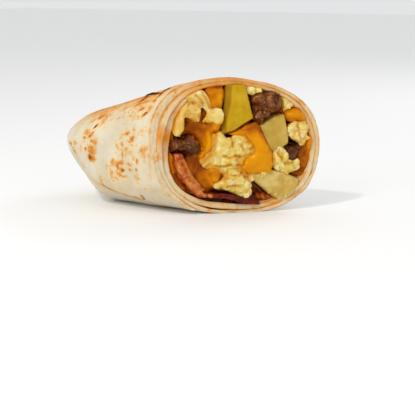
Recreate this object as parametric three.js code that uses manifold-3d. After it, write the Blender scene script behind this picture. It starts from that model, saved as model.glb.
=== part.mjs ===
// One half of a rolled breakfast wrap, cut on the slant and lying on its side.
//
// A soft flour tortilla is rolled a little over two turns round scrambled egg, melted cheese, diced potato,
// sausage and bacon. The far end is tucked shut, and the near end shows the cut tortilla and filling.
//
// Millimetres, +Z up. The roll lies along Y with its cut end towards -Y, and the origin is on the flat strip
// that the wrap rests on. Everything is first made as a straight roll, then tapered towards the tucked end.

import * as THREE from "three";
import { mergeVertices } from "three/addons/utils/BufferGeometryUtils.js";
import Module from "manifold-3d";

const wasm = await Module();
wasm.setup();

const { degToRad, clamp } = THREE.MathUtils;

// Driving dimensions.
const ROLL_HALF_WIDTH = 30.6;
const ROLL_HALF_HEIGHT = 32.7;
const ROLL_CENTRE_HEIGHT = 30.9;
const ROLL_HEIGHT = 62;
const ROLL_LENGTH = 97.2; // from the middle of the cut to the tucked end
const ROLL_SQUARENESS = 2.35; // 2 is an ellipse, more is boxier
const ROLL_LEAN = 0.03; // sideways shift for each millimetre of height
const ROLL_SLUMP = 0.0068; // further shift of the upper half, for each square millimetre
const CUT_ANGLE = degToRad(41); // how far the cut is turned from square across the roll
const REST_BEHIND_CUT = 40; // the origin lies this far behind the middle of the cut, on the flat strip
const REST_ASIDE = 0.9; // and this far to the side, where the leaning roll touches down
const TIP_HEIGHT = 26; // of the point that the tucked end closes on
const WIDTH_LOSS = 0.06; // share of the width lost by the far end, before it rounds off
const HEIGHT_LOSS = 0.25; // share of the height that the top loses behind the cut
const HEIGHT_LOSS_REACH = 43.5; // how far behind the cut most of that is lost
const HEIGHT_LOSS_SLOPE = 1.6;
const SIDE_ROUNDING = 3.9; // higher powers round off later and more bluntly
const TOP_ROUNDING = 4.4;
const TOP_BLUNTNESS = 0.8;
const LIFT_START = 66.5; // where the underside starts to rise towards the tucked end
const LIFT_CURVE = 1.15;
const UNEVENNESS = 0.5;

const SHEET_THICKNESS = 1.4;
const SHEET_PITCH = 1.65; // sheet and the thin gap under it
const SHEET_TURNS = 2.35;
const FLAP_ANGLE = degToRad(242); // where the sheet's outer edge lies at the cut, from +X
const FLAP_CLIMB = 0.245; // turns that this edge climbs on its way to the tucked end
const FLAP_CURVE = 2.2;

const SHEET_END = 0.984; // share of the length that the rolled sheet reaches
const END_PLUG = 13; // length of folded tortilla that closes the far end
const END_PLUG_END = 0.993;
const END_PLUG_DEPTH = 1.26; // how far inside the sheet's outer face it starts
const CAVITY_START = 1.354; // turns after which the sheet's inner face bounds the filling
const CAVITY_DEPTH = 2.38; // sheet thickness with clear room for the filling
const CLEARANCE = 0.35; // between neighbouring pieces
const OUTSIDE = 300; // longer than anything here
const FRONT = -36; // in front of every part of the cut

// ---------------------------------------------------------------------------------------------------------
// The roll's form
// ---------------------------------------------------------------------------------------------------------

// A point of the straight roll's section. Turns are counted from the flap's edge, clockwise seen from the
// cut end, and depth goes in from the sheet's outer face there.
function sectionPoint(turn, depth) {
  const angle = FLAP_ANGLE - turn * 2 * Math.PI;
  const inset = SHEET_PITCH * turn + depth;
  const boxy = (v) => Math.sign(v) * Math.abs(v) ** (2 / ROLL_SQUARENESS);
  const up = boxy(Math.sin(angle)) * (ROLL_HALF_HEIGHT - inset);
  const across = boxy(Math.cos(angle)) * (ROLL_HALF_WIDTH - inset);
  const shift = ROLL_LEAN * up + ROLL_SLUMP * Math.max(up, 0) ** 2;
  return new THREE.Vector2(across - shift, ROLL_CENTRE_HEIGHT + up);
}

// One full turn of the section as a closed outline.
function turnShape(startTurn, depth, points) {
  const outline = [];
  for (let i = 0; i <= points; i += 1) {
    outline.push(sectionPoint(startTurn + i / points, depth));
  }
  return new THREE.Shape(outline);
}

// Moves a point of the straight roll to its place in the real one, which narrows towards the tucked end.
function taper(point) {
  const along = clamp(point.y / ROLL_LENGTH, 0, 1);
  const up = point.z / ROLL_HEIGHT;
  const side = (1 - WIDTH_LOSS * along) * Math.sqrt(1 - along ** SIDE_ROUNDING);
  const sinking = Math.max(point.y / HEIGHT_LOSS_REACH, 0) ** HEIGHT_LOSS_SLOPE;
  const loss = HEIGHT_LOSS * (1 - Math.exp(-sinking));
  const shoulder = ROLL_HEIGHT * (1 - loss) - TIP_HEIGHT;
  const top = TIP_HEIGHT + shoulder * (1 - along ** TOP_ROUNDING) ** TOP_BLUNTNESS;
  const lifted = clamp((point.y - LIFT_START) / (ROLL_LENGTH - LIFT_START), 0, 1);
  const bottom = TIP_HEIGHT * lifted ** LIFT_CURVE;
  const uneven = UNEVENNESS * Math.sin(point.y / 9 + point.z / 14) * clamp(up, 0, 1);
  point.x = point.x * side + uneven;
  point.z = bottom + up * (top - bottom) + uneven;
  return point;
}

// ---------------------------------------------------------------------------------------------------------
// Making solids
// ---------------------------------------------------------------------------------------------------------

// Moves every vertex of a geometry by a function of its position.
function bend(geometry, move) {
  const position = geometry.getAttribute("position");
  const point = new THREE.Vector3();
  for (let i = 0; i < position.count; i += 1) {
    move(point.fromBufferAttribute(position, i));
    position.setXYZ(i, point.x, point.y, point.z);
  }
  return geometry;
}

function toSolid(geometry) {
  const bare = new THREE.BufferGeometry();
  bare.setAttribute("position", geometry.getAttribute("position").clone());
  bare.setIndex(geometry.index);
  const merged = mergeVertices(bare, 1e-4);
  return new wasm.Manifold(
    new wasm.Mesh({
      numProp: 3,
      vertProperties: merged.getAttribute("position").array,
      triVerts: new Uint32Array(merged.index.array),
    }),
  );
}

// A boolean can leave loose scraps and sealed pockets: only its largest body is kept.
function largestBody(solid) {
  return solid.decompose().sort((a, b) => b.volume() - a.volume())[0];
}

function toGeometry(solid) {
  const mesh = solid.getMesh();
  const geometry = new THREE.BufferGeometry();
  geometry.setAttribute("position", new THREE.BufferAttribute(new Float32Array(mesh.vertProperties), 3));
  geometry.setIndex(new THREE.BufferAttribute(new Uint32Array(mesh.triVerts), 1));
  return geometry.toNonIndexed();
}

// An outline in the section, run along the roll from one distance behind the cut to another.
function alongRoll(shape, from, to, steps, wave = () => 0) {
  const geometry = new THREE.ExtrudeGeometry(shape, { depth: to - from, steps, bevelEnabled: false });
  geometry.rotateX(Math.PI / 2).translate(0, to, 0);
  return toSolid(bend(geometry, (point) => {
    point.z += wave(point);
    taper(point);
  }));
}

// The frame in which the cut face is drawn: x across it, y up it and z out of it.
const cutFrame = new THREE.Matrix4().makeBasis(
  new THREE.Vector3(Math.cos(CUT_ANGLE), -Math.sin(CUT_ANGLE), 0),
  new THREE.Vector3(0, 0, 1),
  new THREE.Vector3(-Math.sin(CUT_ANGLE), -Math.cos(CUT_ANGLE), 0),
);

// Everything behind a plane that lies the given distance out of the cut face.
function behindCut(out = 0) {
  const block = new THREE.BoxGeometry(OUTSIDE, OUTSIDE, OUTSIDE);
  block.translate(0, 0, out - OUTSIDE / 2);
  return toSolid(block.applyMatrix4(cutFrame));
}

// A place on the cut face as a place in the section of the straight roll.
const acrossSection = ([across, up]) => new THREE.Vector2(across * Math.cos(CUT_ANGLE), up);

// A closed smooth outline through places on the cut face, listed clockwise, grown by some distance.
function smoothShape(places, points, grow) {
  const corners = places.map(acrossSection).map((p) => new THREE.Vector3(p.x, p.y, 0));
  const curve = new THREE.CatmullRomCurve3(corners, true, "centripetal");
  const outline = [];
  for (let i = 0; i < points; i += 1) {
    const p = curve.getPoint(i / points);
    const tangent = curve.getTangent(i / points);
    outline.push(new THREE.Vector2(p.x - grow * tangent.y, p.y + grow * tangent.x));
  }
  return new THREE.Shape(outline);
}

// A band of even thickness along a smooth line through places on the cut face, grown by some distance.
function bandShape(places, thickness, points, grow) {
  const line = new THREE.SplineCurve(places.map(acrossSection));
  const side = (sign) => line.getPoints(points).map((p, i) => {
    const tangent = line.getTangent(i / points);
    const sideways = sign * (thickness / 2 + grow);
    const onwards = grow * (Number(i === points) - Number(i === 0));
    p.x += onwards * tangent.x - sideways * tangent.y;
    p.y += onwards * tangent.y + sideways * tangent.x;
    return p;
  });
  return new THREE.Shape([...side(-1), ...side(1).reverse()]);
}

// Swelling of a lump of food over a ball of radius 1, different for each seed.
function swelling({ x, y, z }, seed) {
  const broad = Math.sin(2.9 * x + seed) * Math.sin(3.3 * y + 1.7 * seed);
  const fine = 0.6 * Math.sin(5.1 * z + 4.3 * y + seed);
  return broad + fine;
}

// A rounded, uneven lump of food at the cut: its centre on the face, how far it stands out of it, its half
// sizes across, up and in, and its tilt in the face.
function lump({ at, proud, half, tilt = 0, seed }, roughness, detail, grow = 0) {
  const geometry = new THREE.IcosahedronGeometry(1, detail);
  const size = new THREE.Vector3(...half).addScalar(grow);
  bend(geometry, (p) => p.multiplyScalar(1 + roughness * swelling(p, seed)).multiply(size));
  geometry.rotateZ(degToRad(tilt)).translate(at[0], at[1], proud - half[2]).applyMatrix4(cutFrame);
  return toSolid(geometry);
}

const joined = (solids) => wasm.Manifold.union(solids);

// ---------------------------------------------------------------------------------------------------------
// Tortilla: one flat sheet rolled up, its far end folded in and shut
// ---------------------------------------------------------------------------------------------------------

function tortilla() {
  const turnSteps = 62;
  const lengthSteps = 11;
  const back = ROLL_LENGTH * SHEET_END;
  // x runs round the roll, y through the sheet and z along the roll.
  const flat = new THREE.BoxGeometry(1, 1, 1, turnSteps, 1, lengthSteps);
  bend(flat, (p) => {
    const eased = Math.sin((p.z + 0.5) * Math.PI * 0.5) ** 1.15; // closer steps where the end rounds off
    const y = FRONT + eased * (back - FRONT);
    const edge = FLAP_CLIMB * clamp(y / ROLL_LENGTH, 0, 1) ** FLAP_CURVE;
    const turn = edge + (p.x + 0.5) * (SHEET_TURNS - edge);
    const inSection = sectionPoint(turn, (p.y + 0.5) * SHEET_THICKNESS);
    taper(p.set(inSection.x, y, inSection.y));
  });
  const plugShape = turnShape(0, END_PLUG_DEPTH, 30);
  const plug = alongRoll(plugShape, ROLL_LENGTH - END_PLUG, ROLL_LENGTH * END_PLUG_END, 4);
  const aboveFloor = toSolid(new THREE.BoxGeometry(OUTSIDE, OUTSIDE, OUTSIDE).translate(0, 0, OUTSIDE / 2));
  return largestBody(toSolid(flat).add(plug).intersect(behindCut()).intersect(aboveFloor));
}

// The space inside the rolled sheet, a little smaller all round.
const cavity = alongRoll(
  turnShape(CAVITY_START, CAVITY_DEPTH, 32),
  FRONT,
  ROLL_LENGTH - END_PLUG - CLEARANCE,
  9,
);

// ---------------------------------------------------------------------------------------------------------
// Diced potato: three pieces with knife-cut faces
// ---------------------------------------------------------------------------------------------------------

const POTATOES = {
  potato_top: {
    corners: [[-5.2, 57.4], [3.0, 55.4], [6.6, 43.8], [-4.4, 36.8], [-7.4, 37.0], [-5.6, 47.5]],
    out: 0.9,
    deep: 16,
  },
  potato_right: {
    corners: [[9.0, 39.4], [16.8, 43.8], [21.6, 45.0], [23.8, 34.8], [23.4, 31.2], [15.6, 27.6]],
    out: 0.2,
    deep: 15,
  },
  potato_low: {
    corners: [[4.8, 17.0], [15.2, 19.7], [22.8, 17.6], [29.0, 14.4], [27.4, 9.0], [19.2, 5.2], [12.8, 9.8]],
    out: 0.6,
    deep: 15,
  },
};
const POTATO_BEVEL = 0.8;

function potato({ corners, out, deep }, grow = 0) {
  const shape = new THREE.Shape(corners.map(([x, y]) => new THREE.Vector2(x, y)));
  const geometry = new THREE.ExtrudeGeometry(shape, {
    depth: deep - 2 * POTATO_BEVEL,
    bevelThickness: POTATO_BEVEL + grow,
    bevelSize: POTATO_BEVEL + grow,
    bevelOffset: -POTATO_BEVEL,
    bevelSegments: 2,
  });
  geometry.translate(0, 0, out - deep + POTATO_BEVEL);
  return toSolid(geometry.applyMatrix4(cutFrame));
}

// ---------------------------------------------------------------------------------------------------------
// Sausage: three browned crumbles
// ---------------------------------------------------------------------------------------------------------

const SAUSAGES = {
  sausage_top: [
    { at: [13.6, 49.6], proud: 2.2, half: [6.6, 6.2, 7.5], tilt: -15, seed: 2.1 },
    { at: [9.8, 43.4], proud: 1.6, half: [3.0, 3.8, 6], tilt: 20, seed: 4.4 },
  ],
  sausage_left: [
    { at: [-30.4, 32.0], proud: 2.0, half: [4.8, 3.8, 7], tilt: 8, seed: 0.6 },
    { at: [-22.4, 31.8], proud: 2.0, half: [5.2, 4.8, 7.5], tilt: -12, seed: 3.2 },
  ],
  sausage_right: [
    { at: [25.7, 27.6], proud: 1.4, half: [4.2, 4.8, 6.5], tilt: 15, seed: 5.3 },
  ],
};
const SAUSAGE_ROUGHNESS = 0.1;

const sausage = (lobes, grow = 0) => joined(lobes.map((lobe) => lump(lobe, SAUSAGE_ROUGHNESS, 2, grow)));

// ---------------------------------------------------------------------------------------------------------
// Bacon: two slices that run along the wrap, with the slow wave of a fried slice
// ---------------------------------------------------------------------------------------------------------

const BACONS = {
  bacon_left: {
    places: [[-28.4, 27.0], [-25.8, 21.0], [-22.2, 14.8], [-18.2, 10.2]],
    thick: 3.0,
    out: 1.2,
  },
  bacon_low: {
    places: [[-14.6, 8.7], [-8.0, 7.8], [-1.0, 6.8], [4.0, 5.0], [9.4, 4.4]],
    thick: 2.4,
    out: 0.6,
  },
};
const BACON_LENGTH = 66;
const BACON_WAVE = 0.5; // height of the slow wave
const BACON_WAVE_LENGTH = 7;

function bacon({ places, thick, out }, grow = 0) {
  const wave = (p) => BACON_WAVE * Math.sin(p.y / BACON_WAVE_LENGTH);
  const band = bandShape(places, thick, 8, grow);
  return alongRoll(band, FRONT, BACON_LENGTH + grow, 9, wave).intersect(behindCut(out + grow));
}

// ---------------------------------------------------------------------------------------------------------
// Melted cheese: one mass round the middle of the filling, and a run down each side of it
// ---------------------------------------------------------------------------------------------------------

const CHEESES = {
  melted_cheese_middle: {
    outline: [
      [-14.6, 60], [-4.2, 60], [-6, 48], [-8, 38.4], [-2, 38], [8.4, 41.4], [13, 31], [15.4, 23],
      [13, 18.6], [7, 17.6], [1.6, 20], [1.6, 24.6], [6.6, 28], [6.8, 32], [2, 35.6], [-5, 36.4],
      [-12, 36], [-13, 30], [-17.6, 25.6], [-15, 21.2], [-8.6, 18.6], [-9.6, 14], [-14, 10.6],
      [-18, 11.6], [-22.6, 18.6], [-24.6, 26], [-18.4, 30], [-20, 35], [-25.6, 38.8], [-18.6, 42.2],
      [-14.4, 44],
    ],
    points: 46,
    out: -1.2,
  },
  melted_cheese_left: {
    outline: [
      [-40, 36], [-38, 43], [-31.6, 41.6], [-30.6, 30], [-28, 22], [-25.4, 15], [-21.6, 8], [-30, 8],
      [-38, 20],
    ],
    points: 20,
    out: -0.6,
  },
  melted_cheese_right: {
    outline: [
      [20.6, 47], [26, 53], [36, 46], [40, 30], [36, 16], [29, 13], [26.6, 18], [29.2, 25], [30, 34],
      [29, 40.4], [25.4, 41.4], [22, 42.4],
    ],
    points: 24,
    out: -0.2,
  },
};
const CHEESE_LENGTH = 58;
const CHEESE_WAVE = 0.4;

function cheese({ outline, points, out }, grow = 0) {
  const wave = (p) => CHEESE_WAVE * Math.sin(p.y / 10 + p.x / 5);
  const shape = smoothShape(outline, points, grow);
  return alongRoll(shape, FRONT, CHEESE_LENGTH + grow, 5, wave).intersect(behindCut(out + grow));
}

// ---------------------------------------------------------------------------------------------------------
// Scrambled egg: a core that fills the roll, with the curds that show fused on at the cut
// ---------------------------------------------------------------------------------------------------------

const EGG_CORE_BEHIND_CUT = -3.5;
const CURD_ROUGHNESS = 0.12;
const CURDS = [
  { at: [-18.8, 52.4], proud: 2.4, half: [6.8, 3.2, 7], tilt: -39, seed: 1.2 }, // folded curd at the top left
  { at: [-21.8, 48.2], proud: 1.6, half: [4.4, 3.6, 7], seed: 2.6 },
  { at: [-28.4, 45.6], proud: 2.2, half: [2.7, 7.0, 7], tilt: -4, seed: 3.7 }, // its tongue, hanging down
  { at: [-27.9, 38.4], proud: 2.0, half: [2.9, 3.2, 6], seed: 4.1 },
  { at: [-11.4, 44.8], proud: 2.0, half: [4.4, 4.0, 7], tilt: 10, seed: 5.5 },
  { at: [7.0, 56.2], proud: 0.2, half: [3.8, 2.2, 5], seed: 6.2 }, // crumbs under the top
  { at: [22.6, 49.6], proud: 0.8, half: [2.6, 3.4, 6], tilt: 25, seed: 7.3 },
  { at: [26.4, 36.4], proud: 1.8, half: [3.8, 5.2, 7], tilt: 4, seed: 8.1 }, // right of the potato
  { at: [19.6, 24.8], proud: 1.8, half: [4.7, 4.2, 7], tilt: 20, seed: 9.4 },
  { at: [24.8, 20.6], proud: 1.4, half: [4.0, 2.8, 6], tilt: -10, seed: 10.2 },
  { at: [-9.6, 31.4], proud: 1.8, half: [4.2, 6.4, 8], tilt: -6, seed: 11.5 }, // middle of the filling
  { at: [0.4, 31.0], proud: 2.2, half: [6.8, 4.8, 8], tilt: -10, seed: 12.7 },
  { at: [-12.2, 24.4], proud: 1.8, half: [6.0, 4.2, 7], tilt: -8, seed: 14.3 },
  { at: [-3.6, 23.6], proud: 1.4, half: [5.2, 4.6, 7], seed: 15.8 },
  { at: [-5.2, 13.6], proud: 2.2, half: [6.2, 3.4, 7], tilt: 18, seed: 16.1 }, // along the bottom
  { at: [1.4, 14.6], proud: 2.0, half: [4.4, 4.6, 7], seed: 17.6 },
  { at: [3.8, 9.2], proud: 1.8, half: [2.6, 3.6, 6], tilt: -10, seed: 18.4 },
];

function scrambledEgg(neighbours) {
  const core = cavity.intersect(behindCut(EGG_CORE_BEHIND_CUT));
  const curds = joined(CURDS.map((curd) => lump(curd, CURD_ROUGHNESS, 1))).intersect(cavity);
  return largestBody(core.add(curds).subtract(neighbours));
}

// ---------------------------------------------------------------------------------------------------------
// Putting the wrap together: harder pieces displace softer ones
// ---------------------------------------------------------------------------------------------------------

const COLOURS = {
  tortilla: { color: "#e6d6b4", roughness: 0.85 },
  potato: { color: "#d8c25a", roughness: 0.5 },
  sausage: { color: "#6f4a2e", roughness: 0.5 },
  bacon: { color: "#8a3218", roughness: 0.4 },
  melted_cheese: { color: "#e39a1c", roughness: 0.3 },
  scrambled_egg: { color: "#ecd97e", roughness: 0.6 },
};

const wrap = new THREE.Group();

function addPiece(name, solid) {
  const finish = COLOURS[Object.keys(COLOURS).find((kind) => name.startsWith(kind))];
  const material = new THREE.MeshStandardMaterial({ ...finish, metalness: 0 });
  const piece = new THREE.Mesh(toGeometry(solid), material);
  piece.name = name;
  wrap.add(piece);
}

// Makes each named piece of one kind, clear of the harder ones, and returns the room that they all take.
function addKind(pieces, make, harder) {
  const room = [];
  for (const [name, description] of Object.entries(pieces)) {
    const inside = make(description).intersect(cavity);
    addPiece(name, largestBody(harder ? inside.subtract(harder) : inside));
    room.push(make(description, CLEARANCE));
  }
  return harder ? joined([harder, ...room]) : joined(room);
}

addPiece("tortilla", tortilla());
let taken = addKind(POTATOES, potato);
taken = addKind(SAUSAGES, sausage, taken);
taken = addKind(BACONS, bacon, taken);
taken = addKind(CHEESES, cheese, taken);
addPiece("scrambled_egg", scrambledEgg(taken));
wrap.position.set(-REST_ASIDE, -REST_BEHIND_CUT, 0);

export default wrap;
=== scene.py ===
# One half of a rolled breakfast wrap, cut on the slant and lying on a pale floor: a soft tortilla round
# scrambled egg, melted cheese, diced potato, sausage and bacon.
#
# Pieces are shaped in millimetres, either on the axes of the roll (x across it, y along it from the middle
# of the cut to the tucked end, z up) or on those of the cut face (x across the face, y up it, z out of it).
# A matrix then takes each finished mesh to its place in the frame, in metres.

import math
import random

import bmesh
import bpy
from mathutils import Matrix, Vector, noise


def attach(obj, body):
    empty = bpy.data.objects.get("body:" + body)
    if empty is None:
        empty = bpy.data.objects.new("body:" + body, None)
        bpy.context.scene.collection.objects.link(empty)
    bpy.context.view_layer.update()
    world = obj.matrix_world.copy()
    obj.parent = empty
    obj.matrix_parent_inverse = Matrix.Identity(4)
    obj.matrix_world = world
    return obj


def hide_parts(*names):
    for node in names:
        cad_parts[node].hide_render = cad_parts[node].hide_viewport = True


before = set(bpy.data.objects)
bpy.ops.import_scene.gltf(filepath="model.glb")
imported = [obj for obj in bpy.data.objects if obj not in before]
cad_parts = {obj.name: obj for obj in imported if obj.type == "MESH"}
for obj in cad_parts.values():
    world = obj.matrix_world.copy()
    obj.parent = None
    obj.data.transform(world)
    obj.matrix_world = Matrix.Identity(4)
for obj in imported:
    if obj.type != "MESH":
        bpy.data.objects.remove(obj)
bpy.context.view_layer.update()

# ----------------------------------------------------------------------------------------------------
# Tortilla: one soft sheet of wheat dough, baked on a hot plate that browned its blisters. It is rolled a
# little over two turns round the filling, its far end is tucked shut, and a knife cut the roll on the slant.
# ----------------------------------------------------------------------------------------------------

ROLL_HALF_WIDTH = 30.6
ROLL_HALF_HEIGHT = 32.7
ROLL_CENTRE_HEIGHT = 30.9
ROLL_HEIGHT = 62
ROLL_LENGTH = 97.2
ROLL_SQUARENESS = 2.35
ROLL_LEAN = 0.03
ROLL_SLUMP = 0.0068
CUT_ANGLE = math.radians(41)
TIP_HEIGHT = 26
WIDTH_LOSS = 0.06
HEIGHT_LOSS = 0.25
HEIGHT_LOSS_REACH = 43.5
HEIGHT_LOSS_SLOPE = 1.6
SIDE_ROUNDING = 3.9
TOP_ROUNDING = 4.4
TOP_BLUNTNESS = 0.8
LIFT_START = 66.5
LIFT_CURVE = 1.15
UNEVENNESS = 0.5
SHEET_PITCH = 1.65
SHEET_TURNS = 2.35
SHEET_THICKNESS = 1.7
FLAP_ANGLE = math.radians(242)
FLAP_CLIMB = 0.245
FLAP_CURVE = 2.2
CREASE = 28.4  # how far along the roll the lip behind the cut ends, at the left
SKIN_RADIUS = 31  # from the middle of the roll to its outside, for lengths round it
OUTER_TURN_LENGTH = 195  # once round the roll, at the flap's edge
INNER_TURN_LENGTH = 120  # once round it, at the sheet's inner edge
EDGE_ROUNDING = 0.7  # how far in from the sheet's edges it starts to thin
LAYERS_APART = (0, 0.5, 1.2)  # how much further in each layer lies where the sheet is folded in
LAYERS_SWOLLEN = (0.42, 0.5, 0.3)  # how much thicker each layer is there
LAYERS_PROUD = (0.2, 0.8, -0.9)  # how far each layer's cut edge stands out there

ROLL_TO_FRAME = Matrix.Scale(0.001, 4) @ Matrix.Translation((-0.9, -40, 0))
CUT_OUTWARDS = Vector((-math.sin(CUT_ANGLE), -math.cos(CUT_ANGLE), 0))
FACE_TO_ROLL = Matrix((
    (math.cos(CUT_ANGLE), 0, CUT_OUTWARDS.x, 0),
    (-math.sin(CUT_ANGLE), 0, CUT_OUTWARDS.y, 0),
    (0, 1, 0, 0),
    (0, 0, 0, 1),
))
FACE_TO_FRAME = ROLL_TO_FRAME @ FACE_TO_ROLL


def clamped(value):
    return min(max(value, 0.0), 1.0)


def bump(value, middle, reach):
    """1 at the middle, falling smoothly to nothing a few reaches away."""
    return math.exp(-(((value - middle) / reach) ** 2))


def eased(value):
    """0 below 0 and 1 above 1, with a smooth rise between."""
    value = clamped(value)
    return value * value * (3 - 2 * value)


def boxy(value):
    return math.copysign(abs(value) ** (2 / ROLL_SQUARENESS), value)


def taper_at(y):
    """Width factor, underside and top of the roll at a distance behind the middle of the cut."""
    along = clamped(y / ROLL_LENGTH)
    side = (1 - WIDTH_LOSS * along) * math.sqrt(1 - along**SIDE_ROUNDING)
    sinking = max(y / HEIGHT_LOSS_REACH, 0) ** HEIGHT_LOSS_SLOPE
    shoulder = ROLL_HEIGHT * (1 - HEIGHT_LOSS * (1 - math.exp(-sinking))) - TIP_HEIGHT
    top = TIP_HEIGHT + shoulder * (1 - along**TOP_ROUNDING) ** TOP_BLUNTNESS
    bottom = TIP_HEIGHT * clamped((y - LIFT_START) / (ROLL_LENGTH - LIFT_START)) ** LIFT_CURVE
    return side, bottom, top


def lean_at(up):
    """How far the section is shifted sideways at a height above its middle."""
    return ROLL_LEAN * up + ROLL_SLUMP * max(up, 0) ** 2


def roll_point(turn, inset, y):
    """Where the sheet passes: turns round from the flap's edge, how far in, and how far along the roll."""
    angle = FLAP_ANGLE - turn * math.tau
    up = boxy(math.sin(angle)) * (ROLL_HALF_HEIGHT - inset)
    across = boxy(math.cos(angle)) * (ROLL_HALF_WIDTH - inset)
    height = (ROLL_CENTRE_HEIGHT + up) / ROLL_HEIGHT
    side, bottom, top = taper_at(y)
    uneven = UNEVENNESS * math.sin(y / 9 + height * ROLL_HEIGHT / 14) * clamped(height)
    x = (across - lean_at(up)) * side + uneven
    return Vector((x, y, bottom + height * (top - bottom) + uneven))


def degrees_round(turn):
    return math.degrees(FLAP_ANGLE - turn * math.tau) % 360


def layer_at(turn):
    """Which layer of the roll a turn is in, counted from the outside."""
    return int(turn + 0.5)


def fold_at(turn):
    """1 at the upper left, where the sheet was folded in and its layers bulge, 0 elsewhere."""
    return bump(degrees_round(turn), 140, 30)


def layer_inset(turn):
    """How far in the sheet's outside lies. Its layers are pressed together, apart from the fold."""
    spread = LAYERS_APART[layer_at(turn)]
    under_flap = 0.6 * bump(turn, 0.96, 0.07)
    return SHEET_PITCH * turn + spread * fold_at(turn) - under_flap


def thickness_at(turn):
    swelling = LAYERS_SWOLLEN[layer_at(turn)]
    thinned = 0.45 * bump(turn, 0, 0.035) + 0.4 * bump(degrees_round(turn), 337, 4) * (turn < 1)
    swollen = 0.7 * bump(turn, 1.96, 0.06) + 1.1 * bump(turn, 2.2, 0.07)
    return SHEET_THICKNESS * (1 + swelling * fold_at(turn) + swollen - thinned)


# Browned places: degrees round the roll, millimetres along it, half sizes along and round, slant, strength.
BROWNED = (
    (113.5, 33.0, 3.4, 1.5, 0, 2.4), (113, 37.3, 2.6, 1.3, 0, 1.7), (119, 36.5, 3.6, 1.4, 25, 0.8),
    (122.5, 27.2, 1.2, 1.6, 0, 1.9), (117, 26.4, 1.2, 2.2, 0, 2.2), (111, 24.8, 1.1, 2.4, 0, 1.7),
    (104, 24.6, 1.0, 1.8, 0, 0.9), (127, 29.1, 1.6, 1.3, 0, 0.7), (136.5, 35.0, 1.9, 0.9, 45, 0.95),
    (144, 31.9, 2.0, 0.8, 45, 1.1), (136.5, 30.1, 1.2, 2.0, 0, 0.5), (146.5, 35.4, 1.5, 1.4, 0, 0.5),
    (152.5, 27.6, 1.5, 3.6, 0, 0.26), (165, 27.2, 1.4, 5.0, 0, 0.24), (177, 27.2, 1.4, 4.4, 0, 0.28),
    (187, 27.6, 1.4, 4.0, 0, 0.24), (194.5, 28.3, 1.4, 3.0, 0, 0.2), (158.5, 37.7, 1.0, 1.3, 30, 0.55),
    (161, 41.4, 1.6, 1.2, 30, 0.62), (167.5, 38.5, 1.8, 1.3, 40, 0.75), (171, 44.6, 0.9, 1.2, 20, 0.6),
    (173, 47.7, 1.1, 1.6, 20, 0.42), (175.5, 42.2, 1.2, 0.8, 0, 0.5), (177.5, 39.3, 1.6, 1.2, 0, 0.4),
    (179.5, 44.6, 0.8, 1.2, 0, 0.6), (181, 37.5, 0.9, 0.8, 0, 0.55), (183.5, 35.4, 1.1, 0.9, 30, 0.62),
    (177, 31.7, 1.9, 1.7, 20, 0.58), (176, 30.2, 1.4, 2.0, 0, 0.4), (183.5, 51.0, 1.0, 1.7, 0, 0.55),
    (184.5, 45.3, 2.0, 1.0, 10, 0.72), (187.5, 47.7, 0.9, 1.7, 0, 0.7), (191, 45.3, 1.4, 1.0, 30, 1.0),
    (194.5, 47.2, 1.7, 1.0, -30, 0.75), (196.5, 44.6, 1.9, 0.7, 0, 0.55), (185.5, 40.5, 1.8, 0.6, -20, 0.55),
    (190, 40.3, 1.3, 0.8, -10, 0.5), (190, 36.4, 0.8, 0.6, 0, 0.6), (193, 52.2, 1.5, 1.6, 0, 0.42),
    (199, 50.0, 2.0, 1.6, 0, 0.28), (197, 37.0, 1.8, 1.4, 0, 0.3), (130.5, 61.2, 2.6, 1.4, 40, 0.8),
    (144.5, 62.9, 2.2, 0.8, 45, 1.5), (142, 58.0, 3.0, 2.0, 40, 0.36), (133, 66.8, 2.4, 1.4, 30, 0.42),
    (151, 69.2, 2.4, 2.2, 30, 0.7), (158.5, 70.5, 1.0, 0.9, 0, 0.85), (156.5, 66.0, 1.2, 1.0, 30, 1.05),
    (153.5, 64.5, 1.4, 0.9, 30, 0.75), (163.5, 65.1, 1.1, 1.1, 0, 0.8), (166, 62.5, 1.8, 1.8, 0, 0.62),
    (173, 65.3, 2.8, 3.4, 20, 0.7), (172.5, 69.9, 0.8, 0.9, 0, 1.15), (179, 66.8, 1.2, 1.1, 0, 1.2),
    (180.5, 65.3, 2.4, 1.2, 0, 0.7), (169, 79.5, 2.2, 2.0, 0, 0.5), (174, 84.0, 1.6, 2.0, 0, 0.52),
    (181, 86.0, 1.6, 1.4, 0, 0.5), (181.5, 80.1, 1.2, 1.0, 0, 0.55), (111.5, 64.5, 6.0, 2.2, 0, 0.36),
    (109, 58.0, 6.0, 2.0, 0, 0.4), (111, 50.0, 5.0, 1.8, 0, 0.42), (110, 44.4, 3.4, 1.3, 0, 0.62),
    (128.5, 45.5, 2.2, 1.0, 30, 0.5), (127.5, 38.5, 3.2, 1.0, 20, 0.5), (126, 34.2, 2.6, 1.2, 10, 0.5),
    (141.5, 52.8, 2.0, 1.2, 30, 0.34), (142, 47.7, 1.8, 0.9, 30, 0.34), (203, 60.6, 0.5, 4.0, 0, 0.34),
    (98, 20.0, 4.0, 1.4, 0, 0.6), (100, 30, 5.0, 1.6, 10, 0.5),
)
FRECKLED = (  # wider places with small freckles: degrees, millimetres along, reach
    (170, 41, 12), (157, 67, 9), (128, 38, 10), (115, 60, 13), (178, 83, 8), (192, 50, 8), (140, 58, 9),
)

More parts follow.
